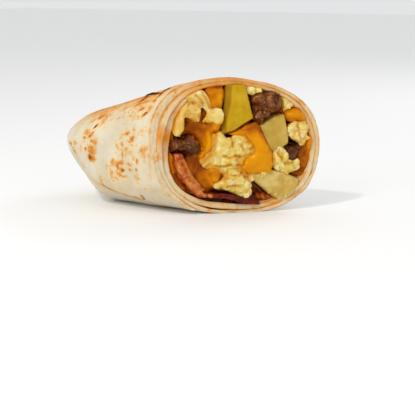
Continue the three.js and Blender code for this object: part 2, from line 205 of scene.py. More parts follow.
# The sides that face away have the same kind of blisters, in loose clusters.
dice = random.Random(7)
clusters = [(dice.uniform(-70, 92), dice.uniform(0, 84)) for _ in range(15)]
SCATTERED = []
for cluster_angle, cluster_along in clusters:
    for _ in range(dice.randint(5, 10)):
        size = dice.uniform(0.8, 2.2)
        SCATTERED.append((
            cluster_angle + dice.gauss(0, 9), cluster_along + dice.gauss(0, 6),
            size * dice.uniform(0.8, 1.6), size, dice.uniform(-50, 50), dice.uniform(0.4, 1.0),
        ))

OILED = (  # where cheese and fat soaked into a cut layer: turns round from the flap, reach, strength
    (2.212, 0.03, 1.0), (2.17, 0.012, 0.6), (1.858, 0.022, 0.8), (1.4, 0.05, 0.45), (1.62, 0.05, 0.3),
    (1.99, 0.02, 0.3), (0.976, 0.004, 0.9), (2.3, 0.03, 0.4), (1.212, 0.026, 1.0),
)


def browning_at(degrees, along):
    """How browned the sheet's outside is: 0 is pale, 0.6 is toasted and 1 is burnt."""
    ragged = noise.noise(Vector((degrees / 2.6, along / 1.4, 3.0)))
    fine = noise.noise(Vector((degrees / 1.5, along / 0.8, 8.0)))
    total = 0.0
    for place in (*BROWNED, *SCATTERED):
        turned = (degrees - place[0] + 180) % 360 - 180
        across = math.radians(turned) * SKIN_RADIUS
        onwards = along - place[1]
        if abs(across) > 9 or abs(onwards) > 13:
            continue
        slant = math.radians(place[4])
        first = (onwards * math.cos(slant) + across * math.sin(slant)) / place[2]
        second = (across * math.cos(slant) - onwards * math.sin(slant)) / place[3]
        distance = math.hypot(first, second) + 0.45 * ragged
        halo = 0.3 * min(place[5], 1.2) * eased((2.3 - distance) / 1.6)
        toasted = 0.72 * place[5] * eased((1.3 - distance + 0.8 * fine) / 0.9)
        total = max(total, halo, toasted)
    for middle, middle_along, reach in FRECKLED:
        turned = (degrees - middle + 180) % 360 - 180
        near = bump(math.radians(turned) * SKIN_RADIUS, 0, reach) * bump(along, middle_along, reach)
        total = max(total, 0.4 * near * eased((ragged + 0.6 * fine - 0.2) / 0.4), 0.12 * near)
    return total


def half_thickness_at(turn, share):
    """Half the sheet's thickness, rounded off at the sheet's edges."""
    half = 0.5 * thickness_at(turn) * (1 + 0.14 * noise.noise(Vector((turn * 22, share * 9, 5.0))))
    to_flap_edge = turn * OUTER_TURN_LENGTH
    to_inner_edge = (SHEET_TURNS - turn) * INNER_TURN_LENGTH
    to_tucked_end = (1 - share) * ROLL_LENGTH
    for distance in (to_flap_edge, to_inner_edge, to_tucked_end):
        half *= math.sqrt(1 - (1 - clamped(distance / EDGE_ROUNDING)) ** 2)
    return half


def wander_at(turn, share):
    """How far the layers stray inwards: together, and a little each on its own."""
    angle = math.radians(degrees_round(turn))
    together = noise.noise(Vector((math.cos(angle) * 2.6, math.sin(angle) * 2.6, share * 4)))
    alone = noise.noise(Vector((turn * 12, share * 4, 11.0)))
    return clamped(turn) * 0.35 * together + 0.1 * alone


def edge_proud_at(turn):
    """How far a layer's cut edge stands out of the cut face."""
    at_fold = LAYERS_PROUD[layer_at(turn)] * bump(degrees_round(turn), 150, 34)
    return 0.5 * noise.noise(Vector((turn * 13, 2.0, 0.3))) + at_fold - 0.9 * bump(turn, 2.2, 0.07)


def edge_browning_at(turn, layer, through):
    """How browned the cut edge is: golden at the top, with thin brown lines where layers meet."""
    degrees = degrees_round(turn)
    brown = 0.12 + 0.22 * bump(degrees, 82, 28) + 0.05 * bump(degrees, 0, 40) - 0.04 * bump(degrees, 168, 26)
    brown += 0.12 * noise.noise(Vector((turn * 30, through * 4, 1.0)))
    dashes = eased((noise.noise(Vector((turn * 46, layer * 3.0, 2.0))) + 0.1) / 0.3)
    lines = (0.12 + 0.26 * dashes + 0.24 * bump(degrees, 132, 24)) * (1 - 0.7 * bump(degrees, 190, 36))
    return brown + lines * abs(2 * through - 1) ** 3


def outside_rise(degrees, y):
    """How far the roll's outside stands out: a lip behind the cut, a blister, a bulge and soft pleats."""
    left = bump(degrees, 152, 44)
    lip = 1.1 * left * eased((CREASE - y) / 2.4)
    groove = 0.5 * left * bump(y, CREASE + 0.8, 1.3)
    blister = 1.1 * bump(degrees, 112, 7) * bump(y, 35.4, 3.6)
    bulge = 1.6 * bump(degrees, 224, 15) * bump(y, 66, 12)
    broad = 0.5 * noise.noise(Vector((degrees / 24, y / 15, 1.0)))
    small = 0.16 * noise.noise(Vector((degrees / 7, y / 3.8, 9.0)))
    pleats = 0.9 * clamped((y - 72) / 22) * noise.noise(Vector((degrees / 17, y / 60, 6.0)))
    return lip + blister + bulge + broad + small + pleats - groove


# The sheet starts as one flat grid: along one side of it lies the sheet's outside, from the tucked end to
# the cut, then the cut edge, then the inside, back to the tucked end. Folding it makes a closed sheet.
SEEN_TURNS = 0.42
OUTER_TURNS = 1.06
SEEN_COLUMNS = 136
OUTER_COLUMNS = 92
INNER_COLUMNS = 108
OUTSIDE_ROWS = 146
EDGE_ROWS = 8
INSIDE_ROWS = 44
TUCKED_SHARE = 0.9995  # how much of the roll's length the sheet spans, to leave no hole at its tip
SPLIT_PLACE = 38.5  # how far along the flap's edge is split
RELIEF_TURNS = 1.1  # how far round from the flap's edge the sheet's outside is shaped and browned

turns_at = []
for first, last, count in (
    (0, SEEN_TURNS, SEEN_COLUMNS),
    (SEEN_TURNS, OUTER_TURNS, OUTER_COLUMNS),
    (OUTER_TURNS, SHEET_TURNS, INNER_COLUMNS),
):
    for column in range(count):
        turns_at.append(first + (last - first) * column / count)
turns_at.append(SHEET_TURNS)
columns = len(turns_at) - 1
rows = OUTSIDE_ROWS + EDGE_ROWS + INSIDE_ROWS

bm = bmesh.new()
browning = bm.verts.layers.float.new("browning")
crumb = bm.verts.layers.float.new("crumb")
oil = bm.verts.layers.float.new("oil")
bmesh.ops.create_grid(bm, x_segments=columns, y_segments=rows, size=1)
for vert in bm.verts:
    column = round((vert.co.x + 1) / 2 * columns)
    row = round((vert.co.y + 1) / 2 * rows)
    if row < OUTSIDE_ROWS:
        share = 1 - row / OUTSIDE_ROWS
    else:
        share = max(0, row - OUTSIDE_ROWS - EDGE_ROWS) / INSIDE_ROWS
    at_edge = OUTSIDE_ROWS <= row <= OUTSIDE_ROWS + EDGE_ROWS
    outside = row < OUTSIDE_ROWS + EDGE_ROWS / 2
    share = share - 0.4 * math.sin(math.tau * share) / math.tau
    through = clamped((row - OUTSIDE_ROWS) / EDGE_ROWS)  # 0 on the outside, 1 on the inside
    turn = turns_at[column]
    layer = layer_at(turn)
    from_flap_edge = turn * OUTER_TURN_LENGTH

    half = half_thickness_at(turn, share)
    inset = layer_inset(turn) + 0.5 * thickness_at(turn) + wander_at(turn, share)
    inset += 2 * (through - 0.5) * half if 0 < through < 1 else (half if through else -half)
    face_y = 0.0
    for _ in range(4):
        face_y = -roll_point(turn, inset, face_y).x * math.tan(CUT_ANGLE)

    # The cut edges are soft, and a little ragged from the knife.
    rounding = (0.04 + 0.4 * fold_at(turn)) * (1 - math.cos((through - 0.5) * math.pi))
    ragged = 0.24 * noise.noise(Vector((turn * 150, through * 3, 7.0)))
    ragged *= 1 if at_edge else math.exp(-share * 60)
    start = face_y - edge_proud_at(turn) + rounding + ragged
    y = start + share * (ROLL_LENGTH * TUCKED_SHARE - start)

    # The flap's edge climbs towards the tucked end.
    edge = FLAP_CLIMB * clamped(y / ROLL_LENGTH) ** FLAP_CURVE
    edge += 0.003 * noise.noise(Vector((y / 7, 4.0, 0.0)))
    turn = edge + turn * (SHEET_TURNS - edge) / SHEET_TURNS
    degrees = degrees_round(turn)

    # Hidden skins near the cut are painted warm brown: painted shade in the slits between the layers.
    brown = 0.5 * math.exp(-share * 40)
    if outside and turn < RELIEF_TURNS:
        brown = 0.0 if at_edge else browning_at(degrees, y)
        # The flap's edge is split in one place, pushed in and painted darker there: painted shade in the
        # split.
        split = 1.2 * bump(y, SPLIT_PLACE, 0.45) * eased((8 - from_flap_edge) / 5)
        inset += split - outside_rise(degrees, y) - 0.2 * clamped(brown)
        # Browner across the top, and a little warmer on the lower flank: painted warm light there.
        brown += 0.75 * split + 0.24 * bump(degrees, 112, 21) + 0.07 * bump(degrees, 212, 20)
        brown += (1.1 if 40 < y < 60 else 0.5) * math.exp(-from_flap_edge / 0.9)
    if at_edge:
        brown = edge_browning_at(turn, layer, through)

    # The underside rests on the floor, with the inner layers above the outer one.
    place = roll_point(turn, inset, y)
    place.z = max(place.z, 0.0 if outside else 0.9)
    place.y += 1.2 * eased((y - 76) / 20)
    vert.co = place

    vert[browning] = brown
    vert[crumb] = 1.0 if at_edge else math.exp(-share * 110)
    soaked = max(strength * bump(turn, middle, reach) for middle, reach, strength in OILED)
    patchy = 1 + noise.noise(Vector((turn * 60, through * 2, 12.0)))
    vert[oil] = clamped(soaked * patchy) * (1 if at_edge else math.exp(-share * 60))
bmesh.ops.remove_doubles(bm, verts=bm.verts, dist=0.0005)
bmesh.ops.recalc_face_normals(bm, faces=bm.faces)


def linear(hex_colour):
    """An sRGB hex colour as the linear numbers that the shader takes."""
    parts = [int(hex_colour[i:i + 2], 16) / 255 for i in (1, 3, 5)]
    return (*(c / 12.92 if c <= 0.04045 else ((c + 0.055) / 1.055) ** 2.4 for c in parts), 1)


def add_node(tree, kind, settings=None, links=None):
    """A node with its settings and its incoming links, each keyed by a socket's name or number."""
    node = tree.nodes.new(kind)
    for name, value in (settings or {}).items():
        if name == "ramp":
            while len(node.color_ramp.elements) < len(value):
                node.color_ramp.elements.new(0.5)
            for element, (position, colour) in zip(node.color_ramp.elements, value):
                element.position = position
                element.color = linear(colour)
        elif isinstance(name, int) or name in node.inputs:
            node.inputs[name].default_value = value
        else:
            setattr(node, name, value)
    for name, source in (links or {}).items():
        tree.links.new(source, node.inputs[name])
    return node


def new_material(name):
    """An empty node material, with its shader and its output joined."""
    material = bpy.data.materials.new(name)
    material.use_nodes = True
    tree = material.node_tree
    tree.nodes.clear()
    shader = add_node(tree, "ShaderNodeBsdfPrincipled")
    add_node(tree, "ShaderNodeOutputMaterial", links={"Surface": shader.outputs[0]})
    return material, tree, shader


def set_shader(shader, **values):
    """Plain values on the shader's own sockets, whose names have spaces instead of underscores."""
    for name, value in values.items():
        shader.inputs[name.replace("_", " ")].default_value = value


def finish_piece(name, bm, to_frame, material, slot, *nodes):
    """Makes a shaped bmesh an object of the wrap that stands for CAD nodes."""
    bm.transform(to_frame)
    mesh = bpy.data.meshes.new(name)
    bm.to_mesh(mesh)
    bm.free()
    mesh.shade_smooth()
    piece = bpy.data.objects.new(name, mesh)
    bpy.context.scene.collection.objects.link(piece)
    mesh.materials.append(material)
    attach(piece, "root")
    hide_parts(*nodes)


# Baked wheat dough: matt and floury, a little light goes into it, and its blisters are toasted.
# Its browning also holds painted shade in slits and in the flap's split, and painted warm light low on the
# flank.
baked_dough, tree, shader = new_material("baked_wheat_dough")
coords = add_node(tree, "ShaderNodeTexCoord")
toast_and_shade = add_node(tree, "ShaderNodeAttribute", {"attribute_name": "browning"})
cut = add_node(tree, "ShaderNodeAttribute", {"attribute_name": "crumb"})
mottle = add_node(
    tree, "ShaderNodeTexNoise", {"Scale": 420.0, "Detail": 4.0, "Roughness": 0.6},
    {"Vector": coords.outputs["Object"]},
)
flour = add_node(
    tree, "ShaderNodeTexNoise", {"Scale": 75.0, "Detail": 3.0, "Roughness": 0.6},
    {"Vector": coords.outputs["Object"]},
)
speckle = add_node(
    tree, "ShaderNodeTexNoise", {"Scale": 900.0, "Detail": 2.0}, {"Vector": coords.outputs["Object"]}
)
uneven_heat = add_node(
    tree, "ShaderNodeMath", {"operation": "MULTIPLY_ADD", 1: 1.5, 2: 0.25}, {0: mottle.outputs["Fac"]}
)
haze = add_node(
    tree, "ShaderNodeTexNoise", {"Scale": 170.0, "Detail": 6.0, "Roughness": 0.72},
    {"Vector": coords.outputs["Object"]},
)
freckles = add_node(
    tree, "ShaderNodeMath", {"operation": "MULTIPLY_ADD", "use_clamp": True, 1: 1.5, 2: -0.8},
    {0: haze.outputs["Fac"]},
)
broken = add_node(
    tree, "ShaderNodeMath", {"operation": "MULTIPLY_ADD", "use_clamp": True},
    {0: uneven_heat.outputs[0], 1: toast_and_shade.outputs["Fac"], 2: freckles.outputs[0]},
)
toast = add_node(
    tree, "ShaderNodeValToRGB",
    {"ramp": (
        (0.0, "#DEDACD"), (0.14, "#E5D3AE"), (0.3, "#E3AE68"), (0.5, "#D88C32"), (0.78, "#A0540E"),
        (1.0, "#381004")
    )},
    {"Fac": broken.outputs[0]},
)
pale = add_node(
    tree, "ShaderNodeValToRGB", {"ramp": ((0.35, "#DFD8C6"), (0.65, "#FBF8F2"))},
    {"Fac": flour.outputs["Fac"]},
)
bready = add_node(
    tree, "ShaderNodeValToRGB", {"ramp": ((0.35, "#DECBA8"), (0.6, "#F8EFDC"))},
    {"Fac": mottle.outputs["Fac"]},
)
shade = add_node(
    tree, "ShaderNodeMix", {"data_type": "RGBA"},
    {0: cut.outputs["Fac"], 6: pale.outputs["Color"], 7: bready.outputs["Color"]},
)
colour = add_node(
    tree, "ShaderNodeMix", {"data_type": "RGBA", "blend_type": "MULTIPLY", 0: 0.6},
    {6: toast.outputs["Color"], 7: shade.outputs[2]},
)
oiled = add_node(tree, "ShaderNodeAttribute", {"attribute_name": "oil"})
soaked = add_node(
    tree, "ShaderNodeMix", {"data_type": "RGBA", 7: linear("#DC8A10")},
    {0: oiled.outputs["Fac"], 6: colour.outputs[2]},
)
relief = add_node(
    tree, "ShaderNodeMath", {"operation": "MULTIPLY_ADD", 1: 0.6},
    {0: mottle.outputs["Fac"], 2: speckle.outputs["Fac"]},
)
dents = add_node(
    tree, "ShaderNodeBump", {"Strength": 0.35, "Distance": 0.0004}, {"Height": relief.outputs[0]}
)
tree.links.new(soaked.outputs[2], shader.inputs["Base Color"])
tree.links.new(dents.outputs[0], shader.inputs["Normal"])
set_shader(
    shader, Roughness=0.6, IOR=1.4, Specular_IOR_Level=0.25, Subsurface_Weight=0.12,
    Subsurface_Radius=(0.0018, 0.001, 0.0005), Subsurface_Scale=1.0,
)
finish_piece("rolled_tortilla", bm, ROLL_TO_FRAME, baked_dough, "tortilla", "tortilla")

# ----------------------------------------------------------------------------------------------------
# Scrambled egg: soft curds, folded while they set and packed round everything else. They fill the roll, and
# at the cut they stand out a little, tinted where cheese melted over them.
# ----------------------------------------------------------------------------------------------------


def core_of(node, near, far=None):
    """A CAD node's solid on the axes of the cut face, between two depths behind the cut."""
    bm = bmesh.new()
    bm.from_mesh(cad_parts[node].data)
    bm.transform(FACE_TO_FRAME.inverted())
    bmesh.ops.remove_doubles(bm, verts=bm.verts, dist=0.002)
    for depth, side in ((near, {"clear_outer": True}), (far, {"clear_inner": True})):
        if depth is not None:
            everything = [*bm.verts, *bm.edges, *bm.faces]
            bmesh.ops.bisect_plane(bm, geom=everything, plane_co=(0, 0, -depth), plane_no=(0, 0, 1), **side)
            bmesh.ops.holes_fill(bm, edges=[e for e in bm.edges if e.is_boundary])
    return bm


def add_lump(bm, at, half, tilt, roughness, seed, detail=3):
    """A rounded, uneven lump: centre on the face's axes, half sizes, and tilt in the face in degrees."""
    made = bmesh.ops.create_icosphere(bm, subdivisions=detail, radius=1)["verts"]
    for vert in made:
        swell = noise.noise(vert.co * 1.3 + Vector((seed, 0, 0)))
        swell += 0.5 * noise.noise(vert.co * 2.9 + Vector((0, seed, 0)))
        vert.co *= 1 + roughness * 2 * swell
    bmesh.ops.scale(bm, vec=half, verts=made)
    bmesh.ops.rotate(bm, matrix=Matrix.Rotation(math.radians(tilt), 3, "Z"), verts=made)
    bmesh.ops.translate(bm, vec=at, verts=made)


def add_strand(bm, path, thick, seed):
    """A smooth run of soft food along places on the face: across, up, how far it stands out, half width."""
    for start, end in zip(path, path[1:]):
        steps = max(2, math.ceil(math.dist(start[:2], end[:2]) / 0.7))
        for step in range(steps + 1):
            u, v, proud, width = (a + (b - a) * step / steps for a, b in zip(start, end))
            add_lump(bm, (u, v, proud - thick), (width, width, thick), 0, 0.05, seed + u, 2)


def only_verts(items):
    return [item for item in items if isinstance(item, bmesh.types.BMVert)]


def add_slab(bm, outline, proud):
    """A slab of soft food: an outline on the face, rounded off towards the front."""
    thick = 3.4
    back = bm.faces.new([bm.verts.new((u, v, proud - thick)) for u, v in outline])
    made = bmesh.ops.extrude_face_region(bm, geom=[back])["geom"]
    front = next(item for item in made if isinstance(item, bmesh.types.BMFace))
    bmesh.ops.translate(bm, vec=(0, 0, thick - 1.3), verts=front.verts)
    for inwards, upwards in ((0.3, 0.6), (0.7, 0.5), (1.2, 0.2)):
        bmesh.ops.inset_region(bm, faces=[front], thickness=inwards, use_even_offset=True)
        bmesh.ops.translate(bm, vec=(0, 0, upwards), verts=front.verts)


def inside(outline, u, v):
    """Whether a place on the cut face lies within an outline."""
    within = False
    for (u1, v1), (u2, v2) in zip(outline, outline[1:] + outline[:1]):
        if (v1 > v) != (v2 > v) and u < u1 + (v - v1) / (v2 - v1) * (u2 - u1):
            within = not within
    return within


def crumble(bm, outline, sizes, proud, count, seed):
    """Fills an outline on the cut face with small lumps."""
    dice = random.Random(seed)
    us, vs = zip(*outline)
    made = 0
    while made < count:
        u = dice.uniform(min(us), max(us))
        v = dice.uniform(min(vs), max(vs))
        if not inside(outline, u, v):
            continue
        size = dice.uniform(*sizes)
        half = (size * dice.uniform(0.8, 1.4), size * dice.uniform(0.6, 1.0), size)
        out = dice.uniform(*proud) - size
        add_lump(bm, (u, v, out), half, dice.uniform(0, 180), 0.2, dice.uniform(0, 90), 2)
        made += 1


def distance_to_line(u, v, line):
    nearest = 1e9
    for (u1, v1, *_), (u2, v2, *_) in zip(line, line[1:]):
        length = (u2 - u1) ** 2 + (v2 - v1) ** 2
        along = clamped(((u - u1) * (u2 - u1) + (v - v1) * (v2 - v1)) / length)
        nearest = min(nearest, math.hypot(u - u1 - along * (u2 - u1), v - v1 - along * (v2 - v1)))
    return nearest


def melded(bm, voxel):
    """One closed skin round everything in a bmesh."""
    mesh = bpy.data.meshes.new("melding")
    bm.to_mesh(mesh)
    bm.free()
    holder = bpy.data.objects.new("melding", mesh)
    bpy.context.scene.collection.objects.link(holder)
    skin = holder.modifiers.new("skin", "REMESH")
    skin.mode = "VOXEL"
    skin.voxel_size = voxel
    seen = holder.evaluated_get(bpy.context.evaluated_depsgraph_get())
    melded_mesh = bpy.data.meshes.new_from_object(seen)
    bpy.data.objects.remove(holder)
    result = bmesh.new()
    result.from_mesh(melded_mesh)
    return result


def smoothed(bm, rounds):
    """Softens a skin: each vertex moves towards its neighbours, a few times over."""
    for _ in range(rounds):
        bmesh.ops.smooth_vert(
            bm, verts=bm.verts, factor=0.5, use_axis_x=True, use_axis_y=True, use_axis_z=True
        )


def pushed(bm, rise_at):
    """Moves a skin's vertices outwards by a height that depends on their place, and less at its sides."""
    bm.normal_update()
    moves = [vert.co + vert.normal * rise_at(vert.co) * max(0.35, vert.normal.z) for vert in bm.verts]
    for vert, move in zip(bm.verts, moves):
        vert.co = move


def waves(place, *heights):
    """Smooth unevenness: the sum of noises, each with a height, a wavelength and a shift."""
    return sum(high * noise.noise(place / length + Vector((shift, 0, 0))) for high, length, shift in heights)


def kept_inside(bm):
    """Pulls a food's skin in where it would reach through the rolled sheet."""
    to_face = FACE_TO_ROLL.inverted()
    half_power = ROLL_SQUARENESS / 2
    for vert in bm.verts:
        point = FACE_TO_ROLL @ vert.co
        side, bottom, top = taper_at(point.y)
        height = (point.z - bottom) / (top - bottom) * ROLL_HEIGHT
        uneven = UNEVENNESS * math.sin(point.y / 9 + height / 14) * clamped(height / ROLL_HEIGHT)
        up = (point.z - uneven - bottom) / (top - bottom) * ROLL_HEIGHT - ROLL_CENTRE_HEIGHT
        across = (point.x - uneven) / max(side, 0.05) + lean_at(up)
        angle = math.atan2(
            math.copysign(abs(up) ** half_power, up), math.copysign(abs(across) ** half_power, across)
        )
        turn = ((FLAP_ANGLE - angle) / math.tau) % 1 + 1
        if turn + 1 < SHEET_TURNS:
            turn += 1
        room = layer_inset(turn) + thickness_at(turn) + 0.1
        reach = (abs(across / (ROLL_HALF_WIDTH - room)) ** ROLL_SQUARENESS
                 + abs(up / (ROLL_HALF_HEIGHT - room)) ** ROLL_SQUARENESS) ** (1 / ROLL_SQUARENESS)
        if reach > 1:
            up /= reach
            across /= reach
            point.x = (across - lean_at(up)) * side + uneven
            point.z = bottom + (ROLL_CENTRE_HEIGHT + up) / ROLL_HEIGHT * (top - bottom) + uneven
            vert.co = to_face @ point


def add_mesh_of(bm, other):
    """Adds another bmesh's geometry to a bmesh, and frees the other."""
    mesh = bpy.data.meshes.new("other")
    other.to_mesh(mesh)
    other.free()
    bm.from_mesh(mesh)


EGG_SLABS = (  # outline on the face, how far it stands out
    ([(-25.7, 54.5), (-23.2, 56.2), (-18.1, 57.6), (-15.6, 55.3), (-13.3, 51.7), (-12.8, 48.2),
      (-14.6, 46.6), (-16.8, 48.2), (-18.7, 50.0), (-21.2, 51.5), (-24.7, 52.6)], 2.6),  # folded, top left
    ([(-25.8, 50.5), (-23.2, 51.9), (-20.2, 51.6), (-17.9, 49.3), (-17.2, 45.8), (-18.4, 42.6),
      (-20.6, 42.4), (-22.8, 43.8), (-24.8, 44.6)], 2.0),
    ([(-16.1, 43.3), (-14.3, 46.8), (-11.5, 48.7), (-7.9, 48.0), (-6.9, 45.5), (-7.9, 41.3), (-10.5, 40.6),
      (-12.0, 42.2), (-15.1, 42.0)], 2.5),  # curd left of the potato
    ([(-12.4, 37.2), (-7.9, 36.2), (-5.3, 34.4), (-1.7, 36.0), (3.4, 34.8), (7.8, 31.2), (7.4, 27.9),
      (3.6, 24.9), (1.4, 20.9), (-7.9, 18.6), (-12.1, 20.0), (-16.2, 21.5), (-18.3, 25.0),
      (-13.4, 29.5)], 1.9),  # middle
    ([(-8.0, 20.0), (0.0, 22.0), (5.0, 20.4), (9.4, 18.2), (5.7, 14.4), (-1.7, 17.4), (-6.9, 15.9)], 1.1),
    ([(-11.1, 12.6), (-6.9, 16.8), (-1.7, 19.2), (2.4, 17.2), (6.0, 15.5), (6.4, 11.3), (6.2, 8.7),
      (4.1, 5.7), (2.0, 6.9), (-2.7, 9.2), (-8.0, 11.5)], 1.7),  # along the bottom
    ([(15.2, 25.4), (17.3, 28.6), (20.5, 30.0), (23.4, 26.5), (24.6, 23.9), (29.3, 23.3),
      (28.3, 19.2), (22.7, 17.0), (17.9, 19.2), (15.7, 21.5)], 1.5),  # right of the cheese
    ([(23.4, 39.7), (26.8, 41.6), (31.7, 42.0), (32.6, 38.2), (33.0, 33.0), (30.7, 30.1),
      (26.9, 32.5), (23.5, 35.4)], 1.4),
    ([(19.8, 53.0), (23.6, 51.2), (25.8, 48.1), (21.1, 45.6)], 0.9),
    ([(2.6, 58.2), (9.8, 57.2), (11.2, 55.2), (6.7, 53.6), (3.6, 54.4)], 0.9),
)
EGG_STRANDS = (  # places across, up and out of the face, with half widths
    ((-25.8, 52.8, 2.2, 1.5), (-22.0, 54.4, 2.6, 2.2), (-18.2, 54.0, 2.8, 3.0), (-15.8, 51.4, 2.9, 2.7),
     (-14.6, 48.8, 2.6, 1.6)),  # folded curd at the top left
    ((-24.0, 47.8, 1.8, 1.5), (-22.8, 49.6, 2.3, 1.9), (-20.4, 49.2, 2.8, 2.4), (-19.4, 45.8, 2.5, 2.0)),
    ((-22.4, 53.0, 2.6, 2.4), (-26.0, 51.0, 3.0, 2.6), (-27.8, 47.4, 3.2, 2.6), (-27.4, 43.6, 3.2, 2.3),
     (-27.8, 40.2, 3.4, 2.8), (-28.8, 38.6, 3.2, 2.4)),  # its tongue, hanging down
    ((-11.6, 46.0, 2.8, 2.6), (-9.8, 45.2, 3.0, 2.5), (-9.6, 42.8, 2.5, 2.0)),  # curd left of the potato
    ((-15.6, 43.2, 1.8, 0.8), (-13.4, 44.6, 2.2, 1.3)),
    ((-8.6, 35.6, 1.6, 2.4), (-7.6, 31.6, 2.0, 3.6), (-9.0, 28.2, 1.5, 3.0)),  # middle
    ((-1.6, 34.2, 2.4, 2.1), (1.6, 33.2, 2.8, 2.6), (4.6, 31.0, 2.7, 2.2)),
    ((-1.2, 30.4, 2.0, 2.8), (3.0, 28.6, 2.4, 2.5), (-0.6, 28.0, 2.2, 2.0)),
    ((-14.0, 26.6, 1.5, 2.1), (-10.4, 24.8, 1.9, 2.5), (-6.6, 23.6, 1.9, 2.4), (-2.6, 24.2, 1.9, 2.0),
     (1.4, 24.4, 1.8, 1.8)),
    ((-7.6, 20.6, 1.4, 2.0), (-3.2, 20.4, 1.7, 2.3), (0.4, 18.6, 1.9, 1.9)),
    ((-10.6, 12.9, 2.4, 1.5), (-5.8, 14.2, 2.8, 2.1), (-0.8, 14.8, 2.7, 2.2), (3.6, 12.4, 2.7, 1.9),
     (4.6, 8.8, 2.7, 1.4), (4.2, 6.8, 2.4, 1.0)),  # along the bottom
    ((17.2, 27.2, 1.6, 1.4), (18.6, 24.6, 2.1, 2.4), (20.6, 22.2, 1.9, 2.0), (25.0, 20.6, 1.6, 1.5),
     (27.4, 21.4, 1.2, 1.1)),  # right of the cheese
    ((26.0, 39.4, 1.6, 1.6), (28.6, 38.0, 2.1, 2.4), (30.4, 34.8, 2.1, 1.8), (27.6, 33.6, 1.9, 1.9)),
    ((22.2, 50.4, 1.4, 1.4), (23.6, 48.2, 1.4, 1.3)),
    ((10.4, 6.6, -1.8, 2.2), (14.8, 6.0, -1.6, 2.2)),
)
EGG_CRUMBS = (  # outline on the face, lump sizes, how far they stand out, how many
    ([(3.5, 57.3), (9.8, 56.7), (10.9, 55.4), (6.7, 54.2), (4.1, 54.8)], (0.6, 1.2), (0.2, 1.4), 8),
    ([(20.4, 52.4), (23.6, 50.7), (25.4, 48.1), (21.5, 46.2)], (0.6, 1.2), (0.4, 1.6), 7),
    ([(23.6, 39.5), (26.8, 41.4), (31.7, 41.8), (32.2, 38.2), (32.8, 33.0), (30.7, 30.5),
      (26.9, 32.7), (23.7, 35.4)], (0.7, 1.5), (1.0, 2.5), 18),
    ([(15.2, 25.4), (17.3, 28.4), (20.5, 29.8), (23.2, 26.1), (24.3, 23.5), (29.1, 23.3), (28.1, 19.2),
      (22.7, 17.3), (17.9, 19.6), (15.7, 21.7)], (0.6, 1.3), (1.0, 2.6), 24),
    ([(-3.0, 34.6), (3.0, 34.5), (7.8, 30.8), (7.2, 27.7), (3.6, 25.3), (0.4, 21.3), (-6.0, 20.0),
      (-4.0, 28.0)], (0.6, 1.3), (1.8, 3.0), 22),
    ([(-8.0, 13.6), (-6.9, 17.0), (-1.7, 19.4), (2.0, 17.2), (5.7, 15.5), (6.2, 11.3), (6.2, 8.7),
      (4.1, 5.7), (2.0, 6.9), (1.0, 11.5)], (0.6, 1.3), (1.6, 2.9), 18),
    ([(6.0, 17.4), (14.0, 20.4), (13.0, 16.6), (6.4, 14.6)], (0.6, 1.2), (1.0, 2.0), 9),
    ([(-24.4, 48.8), (-21.0, 50.6), (-17.8, 46.4), (-16.0, 42.6), (-18.6, 42.4), (-22.6, 44.2)],
     (0.6, 1.3), (1.4, 2.9), 16),
    ([(13.6, 10.6), (19.0, 4.8), (24.0, 6.4), (28.0, 8.6), (28.4, 11.6), (26.0, 9.6), (20.0, 7.8)],
     (0.6, 1.3), (0.8, 2.0), 10),
)
SMOOTH_EGG = (  # places where the curd is smooth, with reaches across and up
    (-18.5, 53.5, 7.0, 4.5), (-27.5, 45.0, 4.5, 10.0), (-22.0, 50.0, 3.0, 2.6), (-9.8, 45.4, 4.0, 4.5),
    (-8.8, 32.0, 4.4, 6.5), (-7.0, 14.0, 5.0, 2.4),
)
EGG_CRACKS = (
    ((-17.5, 56.6), (-15.4, 53.4), (-13.8, 48.6)), ((-20.4, 54.8), (-17.6, 52.2), (-16.4, 47.6)),
    ((-24.6, 50.4), (-22.4, 51.6), (-20.2, 50.6)),
    ((-3.8, 36.4), (-3.4, 33.4), (-2.8, 31.0)), ((-7.0, 26.6), (-4.4, 25.6), (-1.8, 26.6), (0.6, 26.0)),
    ((-11.0, 22.4), (-7.0, 21.8), (-4.0, 22.6)), ((1.0, 31.0), (2.2, 29.0)), ((-1.0, 22.2), (2.4, 21.4)),
    ((-4.0, 17.8), (-0.5, 17.4), (2.0, 18.8)), ((-5.6, 12.6), (-1.0, 12.8)), ((18.4, 27.0), (20.6, 24.2)),
    ((22.0, 22.0), (25.6, 22.6)), ((27.6, 40.2), (28.4, 36.0), (29.4, 33.0)), ((3.4, 16.4), (6.6, 13.6)),
)
EGG_STAINS = (  # where cheese tints the egg: place, reach across and up, strength
    (-21.0, 51.0, 7.0, 5.0, 0.42), (-28.0, 45.0, 4.0, 9.0, 0.5),
    (-17.0, 46.0, 3.0, 1.4, 0.5), (-21.5, 44.0, 4.0, 1.6, 0.8), (27.0, 42.4, 4.0, 1.6, 0.7),
    (30.6, 30.0, 1.4, 6.0, 0.5), (-30.6, 37.6, 1.4, 2.0, 0.5), (-10.5, 49.6, 3.4, 1.4, 0.6),
    (12.5, 5.4, 5.0, 3.4, 1.0), (-6.0, 14.6, 5.0, 2.4, 0.3), (-12.5, 32.0, 1.8, 5.0, 0.7),
    (-1.0, 25.6, 2.6, 0.7, 0.5),
)
